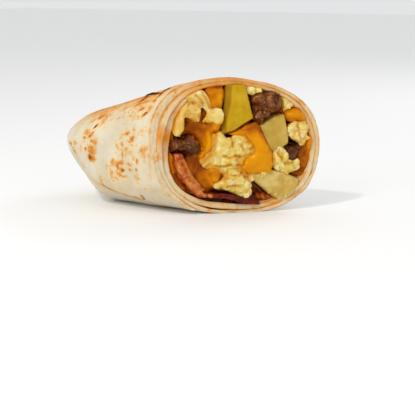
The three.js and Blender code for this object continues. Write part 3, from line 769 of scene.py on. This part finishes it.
EGG_EDGES = (  # where cheese runs onto the egg: a line on the face, reach, strength
    (((3.4, 35.4), (7.6, 31.6), (7.2, 28.2), (3.4, 25.0), (1.2, 21.2), (4.0, 18.0)), 2.2, 0.9),
    (((-12.4, 37.6), (-12.8, 33.0), (-13.6, 29.6), (-17.5, 25.5)), 2.4, 0.9),
    (((-14.0, 22.0), (-9.0, 19.6), (-7.0, 17.0)), 2.0, 0.8),
    (((-24.0, 45.6), (-18.5, 44.4), (-15.5, 42.0), (-10.5, 40.4), (-7.4, 41.6)), 1.2, 0.6),
    (((-13.4, 50.6), (-12.6, 47.6)), 1.2, 0.6),
    (((15.6, 27.0), (15.6, 21.6)), 1.2, 0.7),
)
EGG_LAYERS = (-16.4, 51.6, 4.0, 4.5)  # where a curd shows thin folds: place, reach across and up
EGG_SHADED_CORNER = (10.5, 8.0, 2.6, 2.4)  # painted shade in the corner beside the low potato, likewise


def spot(place, u, v, across, up):
    """1 at a place on the face, falling smoothly to nothing a few reaches across and up from it."""
    return bump(place.x, u, across) * bump(place.y, v, up)


def calm_at(place):
    """1 where the curds are smooth, 0 where they are crumbly."""
    return max(spot(place, *smooth) for smooth in SMOOTH_EGG)


def curd_rise(place):
    """Rounded curds of two sizes with sharp creases between them, and cracks where curds part."""
    calm = calm_at(place)
    big = abs(noise.noise(place / 4.0))
    small = abs(noise.noise(place / 1.7 + Vector((9, 0, 0))))
    rise = 2.6 * (1 - 0.9 * calm) * (big - 0.2) + 1.1 * (1 - 0.9 * calm) * (small - 0.2)
    rise += (0.7 - 0.6 * calm) * noise.noise(place)
    for crack in EGG_CRACKS:
        rise -= 1.1 * bump(distance_to_line(place.x, place.y, crack), 0, 0.5)
    layers = noise.noise(Vector((0.75 * place.x + 0.66 * place.y, 0.1 * (place.y - place.x), 5.0)))
    rise += 2.0 * layers * spot(place, *EGG_LAYERS)
    return rise


bm = core_of("scrambled_egg", near=0.6, far=9)
for outline, proud in EGG_SLABS:
    add_slab(bm, outline, proud)
for number, path in enumerate(EGG_STRANDS):
    add_strand(bm, path, 2.6, number * 3.7)
for number, (outline, sizes, proud, count) in enumerate(EGG_CRUMBS):
    crumble(bm, outline, sizes, proud, count, number)
bm = melded(bm, voxel=0.4)
smoothed(bm, rounds=2)
crease = {vert.index: abs(noise.noise(vert.co / 4.0)) for vert in bm.verts}
pushed(bm, curd_rise)
smoothed(bm, rounds=1)
kept_inside(bm)
stain = bm.verts.layers.float.new("stain")
hollow = bm.verts.layers.float.new("hollow")
for vert in bm.verts:
    u, v, out = vert.co
    blotch = 0.7 * noise.noise(vert.co / 3.0)
    tint = 0.0
    for *where, strength in EGG_STAINS:
        tint = max(tint, strength * spot(vert.co, *where))
    for line, reach, strength in EGG_EDGES:
        tint = max(tint, strength * eased(1.6 - distance_to_line(u, v, line) / reach + 0.5 * blotch))
    calm = calm_at(vert.co)
    furrow = (1 - calm) * eased((0.1 - crease[vert.index]) / 0.1)
    for crack in EGG_CRACKS:
        furrow = max(furrow, 1.6 * bump(distance_to_line(u, v, crack), 0, 0.6))
    # Tint: cheese; further back, partly cheese and partly painted shade; along creases and cracks, painted
    # shade.
    vert[stain] = max(tint, eased((0.6 - out + blotch) / 1.4), 0.3 * furrow)
    # Painted shade: darker where the egg lies further back, along creases and cracks, and in the corner by
    # the low potato.
    deep = 0.9 * spot(vert.co, *EGG_SHADED_CORNER)
    vert[hollow] = max(eased((-0.3 - out) / 3), 0.12 * furrow, deep)
add_mesh_of(bm, core_of("scrambled_egg", near=8))

# Set egg: pale, moist and a little translucent, tinted by cheese, with painted shade in creases and hollows.
set_egg, tree, shader = new_material("set_scrambled_egg")
coords = add_node(tree, "ShaderNodeTexCoord")
tint_and_shade_node = add_node(tree, "ShaderNodeAttribute", {"attribute_name": "stain"})
painted_shade_node = add_node(tree, "ShaderNodeAttribute", {"attribute_name": "hollow"})
patches = add_node(
    tree, "ShaderNodeTexNoise", {"Scale": 260.0, "Detail": 3.0, "Roughness": 0.6},
    {"Vector": coords.outputs["Object"]},
)
grain = add_node(
    tree, "ShaderNodeTexNoise", {"Scale": 1100.0, "Detail": 2.0}, {"Vector": coords.outputs["Object"]}
)
yolk = add_node(
    tree, "ShaderNodeValToRGB",
    {"ramp": ((0.3, "#D6B444"), (0.5, "#E2CA70"), (0.72, "#F2E6B4"))},
    {"Fac": patches.outputs["Fac"]},
)
tinted = add_node(
    tree, "ShaderNodeMix", {"data_type": "RGBA", 7: linear("#D08A02")},
    {0: tint_and_shade_node.outputs["Fac"], 6: yolk.outputs["Color"]},
)
shade_ramp = add_node(
    tree, "ShaderNodeValToRGB",
    {"ramp": ((0.0, "#FFFFFF"), (0.3, "#F0D080"), (0.7, "#C88428"), (1.0, "#8A4A14"))},
    {"Fac": painted_shade_node.outputs["Fac"]},
)
shaded_colour = add_node(
    tree, "ShaderNodeMix", {"data_type": "RGBA", "blend_type": "MULTIPLY", 0: 1.0},
    {6: tinted.outputs[2], 7: shade_ramp.outputs["Color"]},
)
dents = add_node(
    tree, "ShaderNodeBump", {"Strength": 0.15, "Distance": 0.0003}, {"Height": grain.outputs["Fac"]}
)
tree.links.new(shaded_colour.outputs[2], shader.inputs["Base Color"])
tree.links.new(dents.outputs[0], shader.inputs["Normal"])
set_shader(
    shader, Roughness=0.28, IOR=1.36, Specular_IOR_Level=0.6, Specular_Tint=(1, 0.88, 0.55, 1),
    Subsurface_Weight=0.5, Subsurface_Radius=(0.002, 0.0014, 0.0004), Subsurface_Scale=0.8,
)
finish_piece("scrambled_egg_curds", bm, FACE_TO_FRAME, set_egg, "egg", "scrambled_egg")

# ----------------------------------------------------------------------------------------------------
# Melted cheese: shreds of orange cheese that melted into one mass between the other foods. It flowed over
# the egg, and it shows as a smooth, glossy skin in three places.
# ----------------------------------------------------------------------------------------------------

CHEESE_SLABS = {  # outline on the face, how far it stands out
    "melted_cheese_middle": (
        ([(-5.8, 36.8), (-2.7, 37.4), (8.0, 42.0), (10.4, 39.6), (16.0, 27.6), (16.4, 21.6),
          (14.6, 18.2), (9.2, 17.0), (2.0, 18.3), (0.5, 21.8), (3.0, 26.7), (7.0, 27.9), (6.4, 31.3),
          (2.3, 34.7)], 1.7),
        ([(-15.5, 57.4), (-11.8, 59.0), (-7.4, 59.4), (-7.8, 48.0), (-8.6, 37.0), (-12.5, 37.6),
          (-13.4, 48.0)], 0.8),
        ([(-25.5, 38.5), (-24.9, 46.0), (-18.0, 47.0), (-12.0, 48.0), (-6.0, 42.0), (-7.0, 36.0),
          (-12.6, 36.6), (-13.7, 29.5), (-17.5, 24.7), (-23.8, 26.0), (-17.6, 30.2), (-19.2, 34.8),
          (-23.8, 37.3)], -0.9),
        ([(-24.3, 27.3), (-18.3, 26.2), (-14.6, 21.6), (-7.5, 20.1), (-6.3, 17.0), (-10.7, 12.0),
          (-14.8, 9.1), (-18.6, 11.5), (-21.2, 15.9), (-24.5, 22.3)], -0.5),
    ),
    "melted_cheese_left": (
        ([(-37.2, 35.0), (-35.9, 41.0), (-33.5, 44.5), (-30.4, 42.2), (-31.0, 36.7), (-34.5, 34.2)], 0.2),
        ([(-34.4, 27.4), (-32.0, 29.4), (-29.0, 26.1), (-27.0, 17.9), (-23.7, 12.2), (-22.0, 9.2),
          (-26.0, 10.0), (-31.6, 16.1)], -0.4),
    ),
    "melted_cheese_right": (
        ([(20.8, 45.9), (28.9, 48.6), (31.2, 45.0), (32.4, 41.3), (26.3, 40.5), (22.2, 41.5)], 0.8),
        ([(32.6, 37.6), (35.0, 36.0), (36.0, 30.8), (35.2, 24.6), (33.4, 19.4), (30.8, 15.4), (26.6, 18.2),
          (28.5, 23.3), (28.8, 29.6), (32.0, 31.9)], -0.7),
    ),
}
CHEESE_FLOWS = {  # places across, up and out of the face, with half widths
    "melted_cheese_middle": (
        ((-13.4, 37.4, 0.2, 1.2), (-13.4, 33.4, 1.3, 1.6), (-14.2, 30.2, 1.2, 1.6), (-17.8, 26.4, 0.6, 1.2)),
        ((-2.0, 36.6, 1.0, 1.0), (4.0, 37.6, 1.6, 1.8), (8.4, 36.6, 2.0, 2.2)),
        ((9.4, 36.0, 1.7, 2.6), (10.4, 32.0, 2.2, 3.2), (10.8, 27.0, 3.0, 4.0), (9.2, 23.0, 3.1, 4.4),
         (6.4, 21.0, 2.3, 3.6), (4.4, 23.4, 2.3, 2.2)),
        ((-21.4, 23.8, 0.0, 0.9), (-18.4, 18.2, 0.2, 1.2), (-15.4, 12.6, 0.2, 1.2)),
        ((-12.4, 21.0, 1.1, 1.8), (-10.4, 19.0, 1.7, 2.6), (-10.2, 16.2, 1.1, 1.9)),
    ),
    "melted_cheese_left": (
        ((-34.8, 39.0, 1.0, 1.2), (-33.0, 36.8, 1.6, 1.8), (-31.6, 35.6, 1.4, 1.2)),
        ((-31.8, 24.0, 0.6, 1.2), (-30.6, 20.0, 0.7, 1.4)),
    ),
    "melted_cheese_right": (
        ((23.6, 44.0, 1.6, 1.4), (27.6, 44.6, 2.0, 2.4), (30.4, 43.2, 1.8, 1.8)),
        ((34.2, 33.6, 0.9, 1.2), (33.9, 30.0, 0.7, 1.4), (33.0, 25.0, 0.0, 1.4), (31.2, 19.8, 0.0, 1.6)),
    ),
}
CHEESE_PAINTED_SHADE = (  # painted shade, darker beside other foods and in hollows, lighter where negative: place, reach across and up, strength
    (-9.0, 58.8, 6.0, 1.6, 1.0), (-20.0, 21.0, 1.8, 7.0, 0.3), (9.0, 38.6, 5.0, 4.0, 0.5),
    (15.0, 30.0, 1.4, 9.0, 0.25), (-5.6, 50.0, 1.2, 9.0, 0.3), (-21.0, 40.0, 3.0, 3.0, 0.2),
    (-14.0, 46.0, 6.0, 1.5, 0.2), (33.0, 22.0, 3.0, 4.0, 0.2), (-29.2, 15.8, 2.2, 2.4, 1.2),
    (13.0, 34.0, 2.0, 5.0, 0.35), (6.0, 25.0, 2.0, 4.0, -0.25), (-13.2, 33.0, 3.4, 5.0, -0.5),
    (12.6, 21.0, 2.4, 2.4, 0.3), (10.4, 29.6, 1.2, 3.4, 0.3), (-8.0, 53.0, 2.0, 3.0, -0.3),
    (3.0, 38.6, 2.4, 1.0, 0.35),
)
CHEESE_SURFACE = 2.6  # how far its highest skin stands out
CHEESE_DEPTH = 4.4  # how far below that it is darkest: browner cheese and painted shade

# Melted cheese: a smooth, greasy skin over a body that light goes into. It is golden at the surface, and
# brown where it sinks between the other foods: partly thicker cheese, partly painted shade.
soft_cheese, tree, shader = new_material("melted_cheese")
coords = add_node(tree, "ShaderNodeTexCoord")
cheese_shade_node = add_node(tree, "ShaderNodeAttribute", {"attribute_name": "depth"})
patches = add_node(
    tree, "ShaderNodeTexNoise", {"Scale": 170.0, "Detail": 2.0}, {"Vector": coords.outputs["Object"]}
)
uneven_depth = add_node(
    tree, "ShaderNodeMath", {"operation": "MULTIPLY_ADD", 1: 1.1, 2: -0.55}, {0: patches.outputs["Fac"]}
)
level = add_node(
    tree, "ShaderNodeMath", {"operation": "ADD", "use_clamp": True},
    {0: uneven_depth.outputs[0], 1: cheese_shade_node.outputs["Fac"]},
)
orange = add_node(
    tree, "ShaderNodeValToRGB",
    {"ramp": ((0.0, "#DC9204"), (0.3, "#CC7C00"), (0.65, "#B05C00"), (1.0, "#843600"))},
    {"Fac": level.outputs[0]},
)
pores = add_node(
    tree, "ShaderNodeTexNoise", {"Scale": 700.0, "Detail": 2.0}, {"Vector": coords.outputs["Object"]}
)
dents = add_node(
    tree, "ShaderNodeBump", {"Strength": 0.1, "Distance": 0.0003}, {"Height": pores.outputs["Fac"]}
)
tree.links.new(orange.outputs["Color"], shader.inputs["Base Color"])
tree.links.new(dents.outputs[0], shader.inputs["Normal"])
set_shader(
    shader, Roughness=0.2, IOR=1.4, Specular_IOR_Level=0.45, Specular_Tint=(1, 0.6, 0.2, 1),
    Subsurface_Weight=0.35, Subsurface_Radius=(0.003, 0.0012, 0.0002), Subsurface_Scale=0.7,
)

for node, flows in CHEESE_FLOWS.items():
    bm = core_of(node, near=1.2)
    for outline, proud in CHEESE_SLABS[node]:
        add_slab(bm, outline, proud)
    for number, path in enumerate(flows):
        add_strand(bm, path, 1.5, number * 5.0)
    bm = melded(bm, voxel=0.5)
    smoothed(bm, rounds=9)
    pushed(bm, lambda place: 0.4 + waves(place, (1.2, 5.0, 40.0), (0.5, 2.2, 50.0)))
    kept_inside(bm)
    depth = bm.verts.layers.float.new("depth")
    for vert in bm.verts:
        # Darker further back, partly thicker cheese and partly painted shade, plus the spots of painted
        # shade.
        shade_depth = (CHEESE_SURFACE - vert.co.z) / CHEESE_DEPTH
        for *where, strength in CHEESE_PAINTED_SHADE:
            shade_depth += strength * spot(vert.co, *where)
        vert[depth] = eased(shade_depth)
    finish_piece(node + "_flow", bm, FACE_TO_FRAME, soft_cheese, "cheese", node)

# ----------------------------------------------------------------------------------------------------
# Diced potato: boiled cubes with knife-cut faces, softened at their edges. A line of brown skin is left
# along one edge of the upper one.
# ----------------------------------------------------------------------------------------------------

POTATO_FACES = {  # corners on the face, the same corners at the back, how far it stands out, depth
    "potato_top": (
        [(-2.2, 59.4), (2.4, 58.6), (6.7, 43.6), (-2.7, 38.1), (-5.4, 37.0), (-4.9, 42.0), (-3.3, 49.5)],
        [(-6.0, 59.6), (2.8, 58.8), (6.9, 43.4), (-2.7, 37.4), (-8.0, 36.2), (-7.5, 42.0), (-6.5, 49.5)],
        2.0, 16,
    ),
    "potato_right": (
        [(9.2, 39.4), (16.8, 43.6), (21.4, 44.8), (23.6, 35.4), (23.4, 31.6), (20.5, 29.3), (15.4, 27.8)],
        [(9.0, 39.6), (16.8, 44.0), (21.6, 45.2), (24.0, 35.4), (24.0, 31.0), (20.5, 28.8), (15.2, 27.4)],
        0.8, 15,
    ),
    "potato_low": (
        [(5.2, 16.6), (15.2, 19.5), (22.7, 17.3), (28.8, 14.4), (27.6, 8.8), (19.4, 5.2), (13.1, 10.0)],
        [(5.0, 16.8), (15.2, 19.9), (22.9, 17.7), (29.2, 14.4), (28.0, 8.4), (19.2, 4.8), (12.9, 9.6)],
        1.2, 15,
    ),
}
POTATO_FLARE = 2.6  # how far behind the face a piece has its back outline
POTATO_GRAIN = {"potato_top": 0.12, "potato_right": 0.16, "potato_low": 0.4}  # how rough each one is
POTATO_PALENESS = {"potato_top": 0.0, "potato_right": 0.8, "potato_low": 1.0}
SKIN_EDGE = ((-6.6, 36.9), (-2.7, 37.7), (6.9, 43.6))

# Boiled potato: smooth, waxy and yellow, and a little damp. Its peel also holds painted shade on one side.
boiled_potato, tree, shader = new_material("boiled_potato")
coords = add_node(tree, "ShaderNodeTexCoord")
peel = add_node(tree, "ShaderNodeAttribute", {"attribute_name": "peel"})
pale_cut = add_node(tree, "ShaderNodeAttribute", {"attribute_name": "pale"})
patches = add_node(
    tree, "ShaderNodeTexNoise", {"Scale": 150.0, "Detail": 3.0}, {"Vector": coords.outputs["Object"]}
)
waxy = add_node(
    tree, "ShaderNodeValToRGB", {"ramp": ((0.3, "#AE8604"), (0.5, "#BC940A"), (0.7, "#CCA622"))},
    {"Fac": patches.outputs["Fac"]},
)
floury = add_node(
    tree, "ShaderNodeValToRGB", {"ramp": ((0.3, "#B6943E"), (0.5, "#C6A652"), (0.7, "#D8BE78"))},
    {"Fac": patches.outputs["Fac"]},
)
flesh = add_node(
    tree, "ShaderNodeMix", {"data_type": "RGBA"},
    {0: pale_cut.outputs["Fac"], 6: waxy.outputs["Color"], 7: floury.outputs["Color"]},
)
peeled_and_shaded = add_node(
    tree, "ShaderNodeMix", {"data_type": "RGBA", 7: linear("#7A4A10")},
    {0: peel.outputs["Fac"], 6: flesh.outputs[2]},
)
grain = add_node(
    tree, "ShaderNodeTexNoise", {"Scale": 1100.0, "Detail": 2.0}, {"Vector": coords.outputs["Object"]}
)
dents = add_node(
    tree, "ShaderNodeBump", {"Strength": 0.15, "Distance": 0.0002}, {"Height": grain.outputs["Fac"]}
)
tree.links.new(peeled_and_shaded.outputs[2], shader.inputs["Base Color"])
tree.links.new(dents.outputs[0], shader.inputs["Normal"])
set_shader(
    shader, Roughness=0.34, IOR=1.36, Specular_IOR_Level=0.3, Specular_Tint=(1, 0.85, 0.5, 1),
    Subsurface_Weight=0.4, Subsurface_Radius=(0.003, 0.0018, 0.0004), Subsurface_Scale=0.8,
)

for node, (front, back, proud, deep) in POTATO_FACES.items():
    bm = bmesh.new()
    face = bm.faces.new([bm.verts.new((u, v, proud)) for u, v in front])
    made = bmesh.ops.extrude_face_region(bm, geom=[face])["geom"]
    for vert in only_verts(made):
        u, v = back[min(range(len(front)), key=lambda i: math.dist(front[i], vert.co.to_tuple()[:2]))]
        vert.co = (u, v, proud - POTATO_FLARE)
    end = next(item for item in made if isinstance(item, bmesh.types.BMFace))
    made = bmesh.ops.extrude_face_region(bm, geom=[end])["geom"]
    bmesh.ops.delete(bm, geom=[end], context="FACES_ONLY")
    bmesh.ops.translate(bm, vec=(0, 0, POTATO_FLARE - deep), verts=only_verts(made))
    bmesh.ops.recalc_face_normals(bm, faces=bm.faces)
    bmesh.ops.bevel(
        bm, geom=list(bm.edges), offset=0.6, segments=2, profile=0.5, affect="EDGES", material=-1,
        clamp_overlap=True,
    )
    bm = melded(bm, voxel=0.4)
    grain_height = POTATO_GRAIN[node]
    pushed(bm, lambda place: waves(place, (0.6, 5.0, 3.0), (grain_height, 1.6, 8.0)))
    kept_inside(bm)
    peel_and_shade_layer = bm.verts.layers.float.new("peel")
    pale_layer = bm.verts.layers.float.new("pale")
    for vert in bm.verts:
        if node == "potato_top":
            along_skin = distance_to_line(vert.co.x, vert.co.y, SKIN_EDGE)
            # Painted shade, in the skin's brown, on the side that stands back from the face.
            side_shade = eased((1.7 - vert.co.z) / 0.7)
            vert[peel_and_shade_layer] = max(0.85 * clamped(1.5 - along_skin / 0.45), 0.5 * side_shade)
        vert[pale_layer] = POTATO_PALENESS[node]
    finish_piece(node + "_dice", bm, FACE_TO_FRAME, boiled_potato, "potato", node)

# ----------------------------------------------------------------------------------------------------
# Sausage: fried crumbles of minced meat, browned outside and flecked with pepper and fat.
# ----------------------------------------------------------------------------------------------------

SAUSAGE_LUMPS = {  # place across and up the face, how far it stands out, half sizes, tilt
    "sausage_top": (
        ((14.6, 49.6), 4.0, (4.9, 5.0, 5.5), -20), ((9.8, 52.2), 3.4, (3.6, 3.0, 5.0), 10),
        ((15.2, 54.0), 2.8, (4.2, 2.2, 5.0), 0), ((18.2, 50.4), 2.8, (2.2, 3.4, 5.0), 10),
        ((9.8, 43.2), 2.6, (2.3, 2.8, 4.5), 10), ((12.0, 45.6), 3.2, (3.0, 2.8, 5.0), -30),
    ),
    "sausage_left": (
        ((-31.0, 32.2), 3.4, (3.8, 3.0, 5.0), 8), ((-27.0, 32.0), 2.6, (3.2, 2.8, 5.0), 0),
        ((-22.4, 32.2), 3.8, (4.3, 4.1, 5.5), -12), ((-20.4, 30.0), 2.8, (2.6, 2.4, 4.5), 0),
    ),
    "sausage_right": (
        ((25.7, 27.0), 2.8, (3.5, 4.1, 5.0), 15), ((27.8, 29.2), 2.4, (2.2, 2.2, 4.5), 0),
        ((24.4, 24.6), 1.8, (1.6, 1.8, 4.0), 0),
    ),
}
SAUSAGE_GRAIN = {"sausage_top": 0.4, "sausage_left": 1.2, "sausage_right": 0.8}  # how rough each one is
# painted shade on each piece: none on the top one, some on the left one, more on the right one
SAUSAGE_PAINTED_SHADE = {"sausage_top": 0.0, "sausage_left": 0.4, "sausage_right": 0.8}

# Fried minced meat: brown and greasy, darker browned crests, black pepper, and painted shade on two pieces.
fried_mince, tree, shader = new_material("fried_minced_sausage")
coords = add_node(tree, "ShaderNodeTexCoord")
meat = add_node(
    tree, "ShaderNodeTexNoise", {"Scale": 240.0, "Detail": 4.0, "Roughness": 0.6},
    {"Vector": coords.outputs["Object"]},
)
browns = add_node(
    tree, "ShaderNodeValToRGB",
    {"ramp": ((0.3, "#2C0E02"), (0.44, "#5C2A08"), (0.57, "#884A1A"), (0.7, "#B67E44"))},
    {"Fac": meat.outputs["Fac"]},
)
pepper = add_node(
    tree, "ShaderNodeTexVoronoi", {"Scale": 620.0}, {"Vector": coords.outputs["Object"]}
)
speck = add_node(
    tree, "ShaderNodeValToRGB", {"ramp": ((0.2, "#140C0A"), (0.32, "#FFFFFF"))},
    {"Fac": pepper.outputs["Distance"]},
)
peppered = add_node(
    tree, "ShaderNodeMix", {"data_type": "RGBA", "blend_type": "MULTIPLY", 0: 0.85},
    {6: browns.outputs["Color"], 7: speck.outputs["Color"]},
)
seared = add_node(tree, "ShaderNodeAttribute", {"attribute_name": "seared"})
shaded_mince = add_node(
    tree, "ShaderNodeMix", {"data_type": "RGBA", "blend_type": "MULTIPLY", 7: linear("#8A4028")},
    {0: seared.outputs["Fac"], 6: peppered.outputs[2]},
)
dents = add_node(
    tree, "ShaderNodeBump", {"Strength": 0.2, "Distance": 0.0005}, {"Height": meat.outputs["Fac"]}
)
tree.links.new(shaded_mince.outputs[2], shader.inputs["Base Color"])
tree.links.new(dents.outputs[0], shader.inputs["Normal"])
set_shader(
    shader, Roughness=0.28, IOR=1.42, Specular_IOR_Level=0.75, Specular_Tint=(1, 0.7, 0.45, 1),
    Subsurface_Weight=0.05, Subsurface_Radius=(0.002, 0.0008, 0.0005), Subsurface_Scale=0.5,
)

for node, lumps in SAUSAGE_LUMPS.items():
    bm = core_of(node, near=1.6)
    for number, ((u, v), proud, half, tilt) in enumerate(lumps):
        add_lump(bm, (u, v, proud - half[2]), half, tilt, 0.14, number * 2.3 + len(node))
    bm = melded(bm, voxel=0.36)
    grain_height = SAUSAGE_GRAIN[node]
    pushed(bm, lambda place: waves(place, (0.9, 3.4, 70.0), (grain_height, 1.2, 80.0)))
    kept_inside(bm)
    sausage_shade_layer = bm.verts.layers.float.new("seared")
    for vert in bm.verts:
        vert[sausage_shade_layer] = SAUSAGE_PAINTED_SHADE[node]
    finish_piece(node + "_crumble", bm, FACE_TO_FRAME, fried_mince, "sausage", node)

# ----------------------------------------------------------------------------------------------------
# Bacon: two fried slices laid along the wrap, cut through at its face, red meat streaked with golden fat.
# ----------------------------------------------------------------------------------------------------

BACON_ENDS = {  # outline of the cut end on the face, and how far it stands out
    "bacon_left": (
        [(-30.0, 28.1), (-26.4, 28.5), (-23.9, 22.3), (-20.9, 15.6), (-18.3, 11.4), (-15.2, 9.4),
         (-15.2, 8.0), (-18.9, 8.1), (-21.9, 11.1), (-26.0, 15.8), (-28.5, 21.0)], 2.2,
    ),
    "bacon_low": (
        [(-15.2, 9.4), (-9.0, 9.6), (-3.8, 9.0), (2.5, 6.8), (6.8, 8.4), (9.9, 4.2), (10.0, 2.8), (3.1, 4.0),
         (-1.7, 6.0), (-9.0, 7.6), (-14.2, 8.0)], 1.6,
    ),
}
FAT_LINES = {
    "bacon_left": (
        ((-25.4, 25.4), (-22.4, 19.0), (-20.0, 14.4), (-17.0, 9.6)),
        ((-24.4, 16.4), (-19.0, 10.0)),
        ((-28.6, 23.4), (-26.4, 18.0)),
    ),
    "bacon_low": (((-14.6, 8.6), (-13.4, 8.4)),),
}

# Fried bacon: dark red meat with golden fat in streaks along the slice, shiny with grease.
fried_bacon, tree, shader = new_material("fried_bacon")
coords = add_node(tree, "ShaderNodeTexCoord")
fat = add_node(tree, "ShaderNodeAttribute", {"attribute_name": "fat"})
cured = add_node(tree, "ShaderNodeAttribute", {"attribute_name": "dark"})
fibres = add_node(
    tree, "ShaderNodeTexNoise", {"Scale": 380.0, "Detail": 3.0, "Distortion": 0.8},
    {"Vector": coords.outputs["Object"]},
)
meat = add_node(
    tree, "ShaderNodeValToRGB", {"ramp": ((0.3, "#74200A"), (0.5, "#A84218"), (0.7, "#D07C40"))},
    {"Fac": fibres.outputs["Fac"]},
)
lean = add_node(
    tree, "ShaderNodeValToRGB", {"ramp": ((0.3, "#2C0303"), (0.5, "#4C0804"), (0.72, "#822010"))},
    {"Fac": fibres.outputs["Fac"]},
)
golden = add_node(
    tree, "ShaderNodeValToRGB", {"ramp": ((0.3, "#B8601E"), (0.7, "#DC9A4C"))},
    {"Fac": fibres.outputs["Fac"]},
)
meats = add_node(
    tree, "ShaderNodeMix", {"data_type": "RGBA"},
    {0: cured.outputs["Fac"], 6: meat.outputs["Color"], 7: lean.outputs["Color"]},
)
streaked = add_node(
    tree, "ShaderNodeMix", {"data_type": "RGBA"},
    {0: fat.outputs["Fac"], 6: meats.outputs[2], 7: golden.outputs["Color"]},
)
dents = add_node(
    tree, "ShaderNodeBump", {"Strength": 0.4, "Distance": 0.0005}, {"Height": fibres.outputs["Fac"]}
)
tree.links.new(streaked.outputs[2], shader.inputs["Base Color"])
tree.links.new(dents.outputs[0], shader.inputs["Normal"])
set_shader(
    shader, Roughness=0.26, IOR=1.42, Specular_IOR_Level=0.6, Specular_Tint=(1, 0.5, 0.3, 1),
    Subsurface_Weight=0.1, Subsurface_Radius=(0.003, 0.0008, 0.0004), Subsurface_Scale=0.5,
)

for node, (outline, proud) in BACON_ENDS.items():
    bm = core_of(node, near=None)
    face = bm.faces.new([bm.verts.new((u, v, proud)) for u, v in outline])
    made = bmesh.ops.extrude_face_region(bm, geom=[face])["geom"]
    bmesh.ops.translate(bm, vec=(0, 0, -7), verts=only_verts(made))
    bmesh.ops.recalc_face_normals(bm, faces=bm.faces)
    bm = melded(bm, voxel=0.4)
    smoothed(bm, rounds=3)
    pushed(bm, lambda place: 0.2 + waves(place, (1.0, 4.5, 90.0), (0.2, 1.4, 95.0)))
    kept_inside(bm)
    fat_layer = bm.verts.layers.float.new("fat")
    dark_layer = bm.verts.layers.float.new("dark")
    for vert in bm.verts:
        wander = 0.8 * noise.noise(vert.co / 2.5)
        u = vert.co.x + wander
        v = vert.co.y + wander
        nearest = min(distance_to_line(u, v, line) for line in FAT_LINES[node])
        vert[fat_layer] = 0.9 * clamped(1.4 - nearest / 1.1)
        vert[dark_layer] = 1.0 if node == "bacon_low" else 0.0
    finish_piece(node + "_slice", bm, FACE_TO_FRAME, fried_bacon, "bacon", node)

# ----------------------------------------------------------------------------------------------------
# Floor, light and camera: a plain pale floor, and the photo's viewing angle. A soft window light comes from
# the left, with a small bright lamp for the glints, a weak fill from the right and a light from behind.
# ----------------------------------------------------------------------------------------------------

bm = bmesh.new()
bmesh.ops.create_grid(bm, x_segments=1, y_segments=1, size=3)
mesh = bpy.data.meshes.new("floor")
bm.to_mesh(mesh)
bm.free()
floor = bpy.data.objects.new("floor", mesh)
bpy.context.scene.collection.objects.link(floor)
paper, _, shader = new_material("pale_paper")
set_shader(shader, Base_Color=linear("#F6F6F5"), Roughness=0.9)
mesh.materials.append(paper)

scene = bpy.context.scene
scene.view_settings.view_transform = "Standard"
world = bpy.data.worlds.new("pale_room")
world.use_nodes = True
world.node_tree.nodes["Background"].inputs["Color"].default_value = linear("#F6F7F8")
world.node_tree.nodes["Background"].inputs["Strength"].default_value = 0.84
scene.world = world

CAMERA_DISTANCE = 0.524
AIM_LEFT = math.tan(math.radians(1.515))  # how far beside and below the middle of the cut the camera aims
AIM_DOWN = math.tan(math.radians(3.08))
UPWARDS = Vector((0, 0, 1))

face_middle = ROLL_TO_FRAME @ Vector((0, 0, 31))
view_turn = math.radians(56)
view_rise = math.radians(8)
back = Vector((
    -math.sin(view_turn) * math.cos(view_rise),
    -math.cos(view_turn) * math.cos(view_rise),
    math.sin(view_rise),
))
aim_right = Vector((math.cos(view_turn), -math.sin(view_turn), 0))
aim_up = aim_right.cross(-back)


def add_light(name, direction, distance, size, watts, colour="#FFFFFF"):
    """A soft round light that faces the middle of the cut."""
    lamp = bpy.data.lights.new(name, "AREA")
    lamp.shape = "DISK"
    lamp.size = size
    lamp.energy = watts
    lamp.color = linear(colour)[:3]
    light = bpy.data.objects.new(name, lamp)
    light.location = face_middle + direction.normalized() * distance
    light.rotation_euler = (-direction).to_track_quat("-Z", "Y").to_euler()
    scene.collection.objects.link(light)


add_light(
    "window", back - 0.6 * aim_right + 0.5 * UPWARDS, distance=0.9, size=0.35, watts=0.95, colour="#FFFCF8"
)
add_light(
    "spark", back - 0.7 * aim_right + 1.1 * UPWARDS, distance=0.9, size=0.06, watts=2.1, colour="#FFFCF8"
)
add_light("fill", back + 1.0 * aim_right + 0.4 * UPWARDS, distance=1.1, size=0.8, watts=0.3)
add_light("back", -back + 0.9 * aim_right + 1.0 * UPWARDS, distance=0.9, size=0.4, watts=1.0)

lens = bpy.data.cameras.new("camera")
lens.lens = 100
lens.sensor_width = 36
camera = bpy.data.objects.new("camera", lens)
camera.location = face_middle + CAMERA_DISTANCE * back
axis = -back - AIM_LEFT * aim_right - AIM_DOWN * aim_up
camera.rotation_euler = axis.to_track_quat("-Z", "Y").to_euler()
scene.collection.objects.link(camera)
scene.camera = camera
